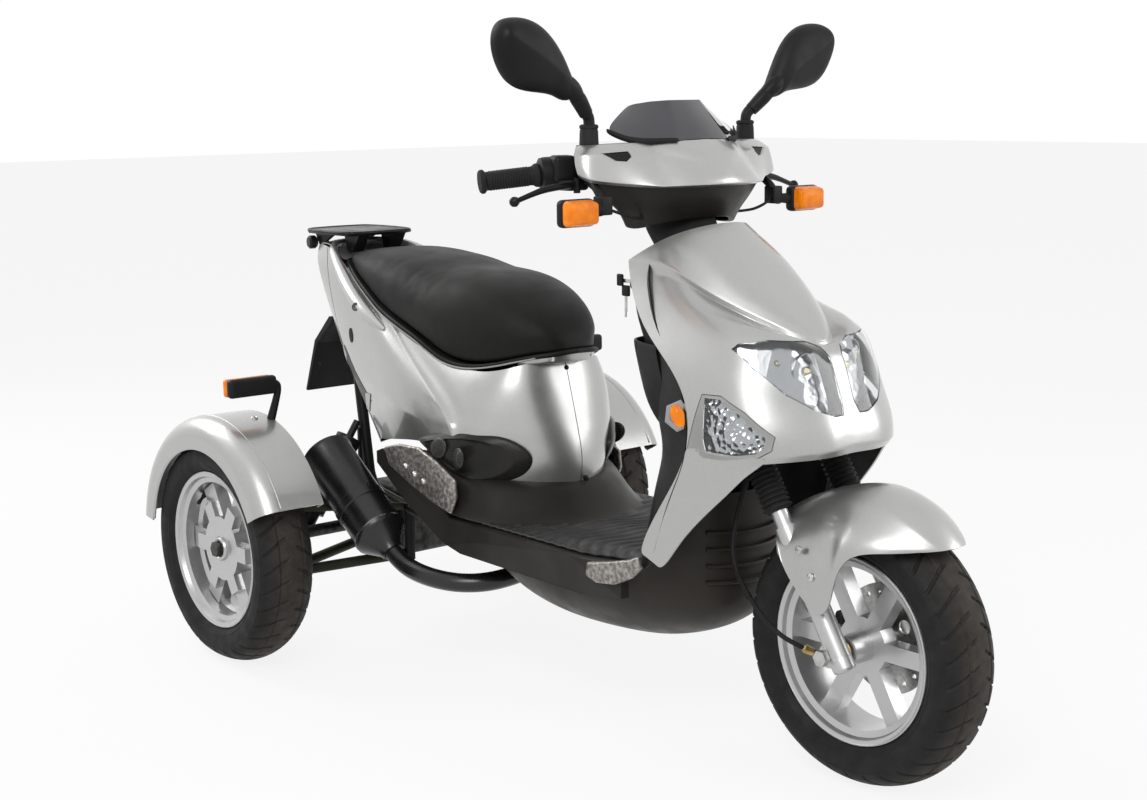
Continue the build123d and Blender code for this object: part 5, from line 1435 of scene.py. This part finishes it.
# Footplates: stamped silver-brown plates on the floor's edges, each held by bright domed rivets.
# They are pressed from thin sheet and follow the edge of the floor.
plate_metal, nodes, links, shader = new_material("stamped_plate")
add_tones(nodes, links, shader, (0.17, 0.155, 0.145), (0.40, 0.375, 0.35), 130, 5, 0.4, 0.62)
shader.inputs["Metallic"].default_value = 0.8
add_wear(nodes, links, shader, 60, 0.28, 0.5)
place = nodes.new("ShaderNodeTexCoord")
stamps = nodes.new("ShaderNodeTexVoronoi")
stamps.feature = "SMOOTH_F1"
stamps.inputs["Scale"].default_value = 90
bump = nodes.new("ShaderNodeBump")
bump.inputs["Strength"].default_value = 0.7
bump.inputs["Distance"].default_value = 0.002
links.new(place.outputs["Object"], stamps.inputs["Vector"])
links.new(stamps.outputs["Distance"], bump.inputs["Height"])
links.new(bump.outputs["Normal"], shader.inputs["Normal"])
rear_plate = cutter("rear_footplates", [(402, 441), (350, 455), (281, 457), (220, 437), (162, 410), (158, 374),
                                        (176, 340), (240, 354), (310, 376), (385, 406)], "x", 208, 217)
modify(rear_plate, "BEVEL", width=0.004, segments=3, limit_method="ANGLE")
both_sides(rear_plate)
front_plate = cutter("front_footplates", [(-372, 362), (-352, 352), (-310, 341), (-262, 330), (-236, 326), (-232, 300),
                                          (-262, 292), (-310, 298), (-352, 318), (-376, 340)], "x", 206, 221)
modify(front_plate, "BEVEL", width=0.005, segments=3, limit_method="ANGLE")
both_sides(front_plate)
plates = join("stamped_footplates", rear_plate, front_plate)
dress(plates, plate_metal, "chassis", "footplates", slot="trim_silver")
rivets = []
for y, z in ((322, 414), (292, 402), (262, 392)):
    rivets.append(turned("rivet", [(-2, 0), (-2, 6), (1, 6), (3.4, 4.6), (4.8, 2.2), (5.2, 0)], (217, y, z),
                         (1, 0, 0), 20))
rivets = join("footplate_rivets", *rivets)
both_sides(rivets)
dress(rivets, bare_steel, "chassis", slot="steel")

# Luggage rack: a black plate over the tail on a pressed bracket, with a round knob at its rear corner.
# The bracket is pressed steel, enamelled black.
rack_plate = cutter("rack_plate", [(-86, 716), (-60, 702), (60, 702), (86, 716), (92, 790), (88, 870), (66, 896),
                                   (-66, 896), (-88, 870), (-92, 790)], "z", 844, 852)
modify(rack_plate, "BEVEL", width=0.003, segments=3, limit_method="ANGLE")
rack_lip = bar("rack_lip", [(0, 900, 850), (60, 898, 850), (86, 876, 850), (92, 790, 850), (86, 716, 850),
                            (58, 702, 850), (0, 702, 850)], 4, 8)
both_sides(rack_lip)
rack_bracket = cutter("rack_bracket", [(704, 845), (762, 845), (752, 812), (730, 808)], "x", 34, 62)
both_sides(rack_bracket)
rack_stay = cutter("rack_stay", [(800, 845), (884, 845), (872, 826), (858, 800), (846, 800), (838, 826)], "x", 54, 62)
modify(rack_stay, "BEVEL", width=0.0015, segments=2, limit_method="ANGLE")
both_sides(rack_stay)
knob = turned("rack_knob", [(0, 0), (0, 11), (5, 15), (16, 15), (20, 11), (20, 0)], (-58, 884, 822), (-1, 0.2, 0), 28)
rack = join("luggage_rack", rack_plate, rack_lip, rack_bracket, rack_stay, knob)
settle(rack, 30)
dress(rack, black_enamel, "chassis", "rear_rack", slot="black_frame")

# Rear fenders: round silver mouldings over the wheels, each with a pressed line inside its lip and an eyelet.
# They keep the shell of the frame; the line, eyelet and edge bead are fixed on it.
fender_lines = []
for radius, x, half in ((276, 30, 1.4), (213, 70.8, 3.0)):
    points = []
    for step in range(13):
        turn = math.radians(9 + 144 * step / 12)
        points.append((451 + x, 611 + radius * math.cos(turn), 236 + radius * math.sin(turn)))
    fender_lines.append(bar("fender_line", points, half, 8))
fender_lines = join("rear_fender_beads", *fender_lines)
both_sides(fender_lines)
dress(fender_lines, silver_paint, "chassis", slot="silver_paint")
eyelet = turned("fender_eyelets", [(-1, 3), (-1, 7), (2, 7), (3, 5), (2, 3)], (420, 560, 506), (0, -0.2, 1), 24)
both_sides(eyelet)
dress(eyelet, bare_steel, "chassis", slot="steel")

# Rear indicators: amber lenses facing back in black cases, on bent black stalks from the fenders.
# Each stalk is bent rod, bolted through the fender.
rear_lens = soft_block("rear_indicator_lenses", (436, 556, 574), (104, 15, 36), 6)
both_sides(rear_lens)
dress(rear_lens, amber, "chassis", "rear_indicators", slot="amber_lens")
rear_case = soft_block("rear_indicator_cases", (434, 540, 574), (108, 20, 38), 8)
rear_stalk = bar("rear_indicator_stalk", [(392, 541, 574), (380, 541, 578), (372, 542, 566), (378, 546, 536),
                                          (388, 550, 500)],
                 [8, 7.5, 7, 7.5, 9])
rear_case = join("rear_indicator_cases", rear_case, rear_stalk)
both_sides(rear_case)
dress(rear_case, black_plastic, "chassis", slot="black_plastic")

# Tail lamp: a red ribbed lens over the tail's rear face.
# It is one moulding, clipped into the body's tail.
red_lens, nodes, links, shader = new_material("red_lens")
add_tones(nodes, links, shader, (0.30, 0.006, 0.005), (0.45, 0.012, 0.010), 50, 2)
shader.inputs["Roughness"].default_value = 0.12
shader.inputs["Coat Weight"].default_value = 0.6
place = nodes.new("ShaderNodeTexCoord")
ribs = nodes.new("ShaderNodeTexWave")
ribs.bands_direction = "Z"
ribs.inputs["Scale"].default_value = 80
bump = nodes.new("ShaderNodeBump")
bump.inputs["Strength"].default_value = 0.4
bump.inputs["Distance"].default_value = 0.0012
links.new(place.outputs["Object"], ribs.inputs["Vector"])
links.new(ribs.outputs["Fac"], bump.inputs["Height"])
links.new(bump.outputs["Normal"], shader.inputs["Normal"])
tail_lens = cutter("tail_lamp_lens", [(866, 802), (886, 797), (889, 788), (868, 722), (858, 714), (838, 702),
                                      (852, 775)],
                   "x", -47, 47)
modify(tail_lens, "BEVEL", width=0.006, segments=4, limit_method="ANGLE")
settle(tail_lens, 40)
dress(tail_lens, red_lens, "chassis", "tail_light", slot="red_lens")

# Silencer: black enamelled can with rolled ends, a strap and a cone where the front pipe enters.
# The pipe runs forward under the engine and turns up to its port.
silencer_origin, silencer_axis = Vector((-232, 398, 262)), Vector((0, 200, 140))
can = turned("silencer_can", [(-52, 0), (-52, 22), (-40, 26), (-6, 52), (-3, 55), (4, 56.5), (8, 54.5), (12, 54),
                              (70, 54),
                              (72, 56), (92, 56), (94, 54), (226, 54), (230, 56), (240, 56), (244, 50), (246, 20),
                              (244, 0)],
             silencer_origin, silencer_axis, 56)
tailpipe = turned("tailpipe", [(238, 10), (238, 14), (262, 14), (262, 11), (244, 10)],
                  silencer_origin + Vector((0, 8, -14)), silencer_axis, 28)
front_pipe = bar("front_pipe", [(-232, 366, 240), (-230, 330, 214), (-222, 262, 200), (-196, 196, 194),
                                (-150, 156, 194),
                                (-90, 142, 200), (-44, 146, 208), (-36, 160, 236), (-36, 190, 280), (-36, 240, 290)],
                 19, 24)
silencer = join("silencer", can, tailpipe, front_pipe)
silencer_enamel = plastic("silencer_enamel", (0.006, 0.006, 0.006), (0.011, 0.011, 0.011), 0.2, 0.34, 260, 0.06)
silencer_enamel.node_tree.nodes["Principled BSDF"].inputs["Specular IOR Level"].default_value = 0.5
dress(silencer, silencer_enamel, "chassis", "exhaust", slot="black_frame")

# Speedometer lead: a thin black cable from the drive on the axle up behind the shield, clipped to the leg.
# A brass drive and nut hold its lower end, and it turns with the fork.
lead = bar("speedometer_lead", [(-66, -653, 222), (-80, -639, 229), (-98, -627, 240), (-112, -606, 253),
                                (-120, -572, 279),
                                (-122, -541, 310), (-118, -508, 346), (-111, -492, 382), (-100, -490, 430),
                                (-86, -498, 490), (-70, -512, 560)], 4.2, 12)
lead_clip = turned("lead_clip", [(-4, 2), (-4, 6), (4, 6), (4, 2)], (-122, -541, 309), (0, 1, 1.1), 16)
drive_nut = turned("lead_nut", [(-10, 3), (-10, 7), (6, 8), (10, 5), (10, 3)], (-80, -639, 229), (-0.7, 0.6, 0.4), 6)
lead = join("speedometer_lead", lead, lead_clip)
dress(lead, black_rubber, "steering", "speedometer_cable", slot="black_plastic")
brass = metal("brass_drive", (0.32, 0.22, 0.08), (0.52, 0.40, 0.18), 0.3, 0.5)
drive = turned("speedometer_drive", [(0, 8.2), (0, 21), (3, 23), (6, 21), (7, 12), (7, 8.2)], (-70, -700, 236),
               (1, 0, 0), 32)
drive = join("speedometer_drive", drive, drive_nut)
dress(drive, brass, "steering", slot="steel")

# Fork sleeves: ribbed rubber bellows over the inner tubes, larger than the tubes and clipped at both ends.
# They keep dirt off the sliding tubes, and one stands on each leg.
bellows_profile = [(0, 19.4)]
for number in range(11):
    bellows_profile += [(3 + number * 9, 21), (5 + number * 9, 25.5), (8 + number * 9, 25.5), (10 + number * 9, 21)]
bellows_profile += [(103, 19), (103, 15.4), (0, 15.4)]
bellows = turned("fork_bellows", bellows_profile, steer_foot + steer_up * 250 + steer_front * 36 + Vector((88, 0, 0)),
                 steer_up, 36, 50)
both_sides(bellows)
dress(bellows, black_rubber, "steering", "fork_boots", slot="rubber")
caps = turned("fork_caps", [(-34, 0), (-34, 15), (-30, 19.5), (-12, 19.8), (-10, 19.2)], steer_foot + steer_front * 36
              + Vector((88, 0, 0)), steer_up, 32)
both_sides(caps)
dress(caps, wheel_paint, "steering", slot="steel")

# Finishes of the parts that keep the frame's own shapes: cast wheels, fork, axle, engine, frame tubes and arms.
# Each gets the finish of its own metal or moulding.
engine_alloy = metal("engine_alloy", (0.030, 0.030, 0.029), (0.075, 0.073, 0.070), 0.42, 0.62, 70, 220, 0.5)
frame_enamel = plastic("frame_enamel", (0.007, 0.007, 0.007), (0.013, 0.013, 0.013), 0.3, 0.48, 350, 0.1)
olive_enamel = plastic("arm_enamel", (0.020, 0.022, 0.012), (0.034, 0.036, 0.020), 0.4, 0.6, 300, 0.15)
disc_steel = metal("brake_steel", (0.30, 0.30, 0.295), (0.46, 0.46, 0.45), 0.25, 0.42, 160, 300, 0.2)
for node, material in (
        ("front_rim", wheel_paint), ("rear_rim_right", wheel_paint), ("rear_rim_left", wheel_paint),
        ("brake_disc", disc_steel), ("fork", wheel_paint), ("front_axle", bare_steel), ("brake_caliper", dark_alloy),
        ("handlebar", frame_enamel), ("main_frame", frame_enamel), ("floorboard", grey_plastic),
        ("seat_hinge_bracket", bare_steel), ("storage_bucket", black_plastic),
        ("rear_mudguard", black_rubber), ("engine", engine_alloy), ("drive_axle", engine_alloy),
        ("rear_knuckles", dark_alloy), ("suspension_arms", olive_enamel), ("shock_absorbers", frame_enamel),
        ("rear_fenders", silver_paint)):
    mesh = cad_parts[node].data
    for slot in range(len(mesh.materials)):
        mesh.materials[slot] = material
    if not mesh.materials:
        mesh.materials.append(material)
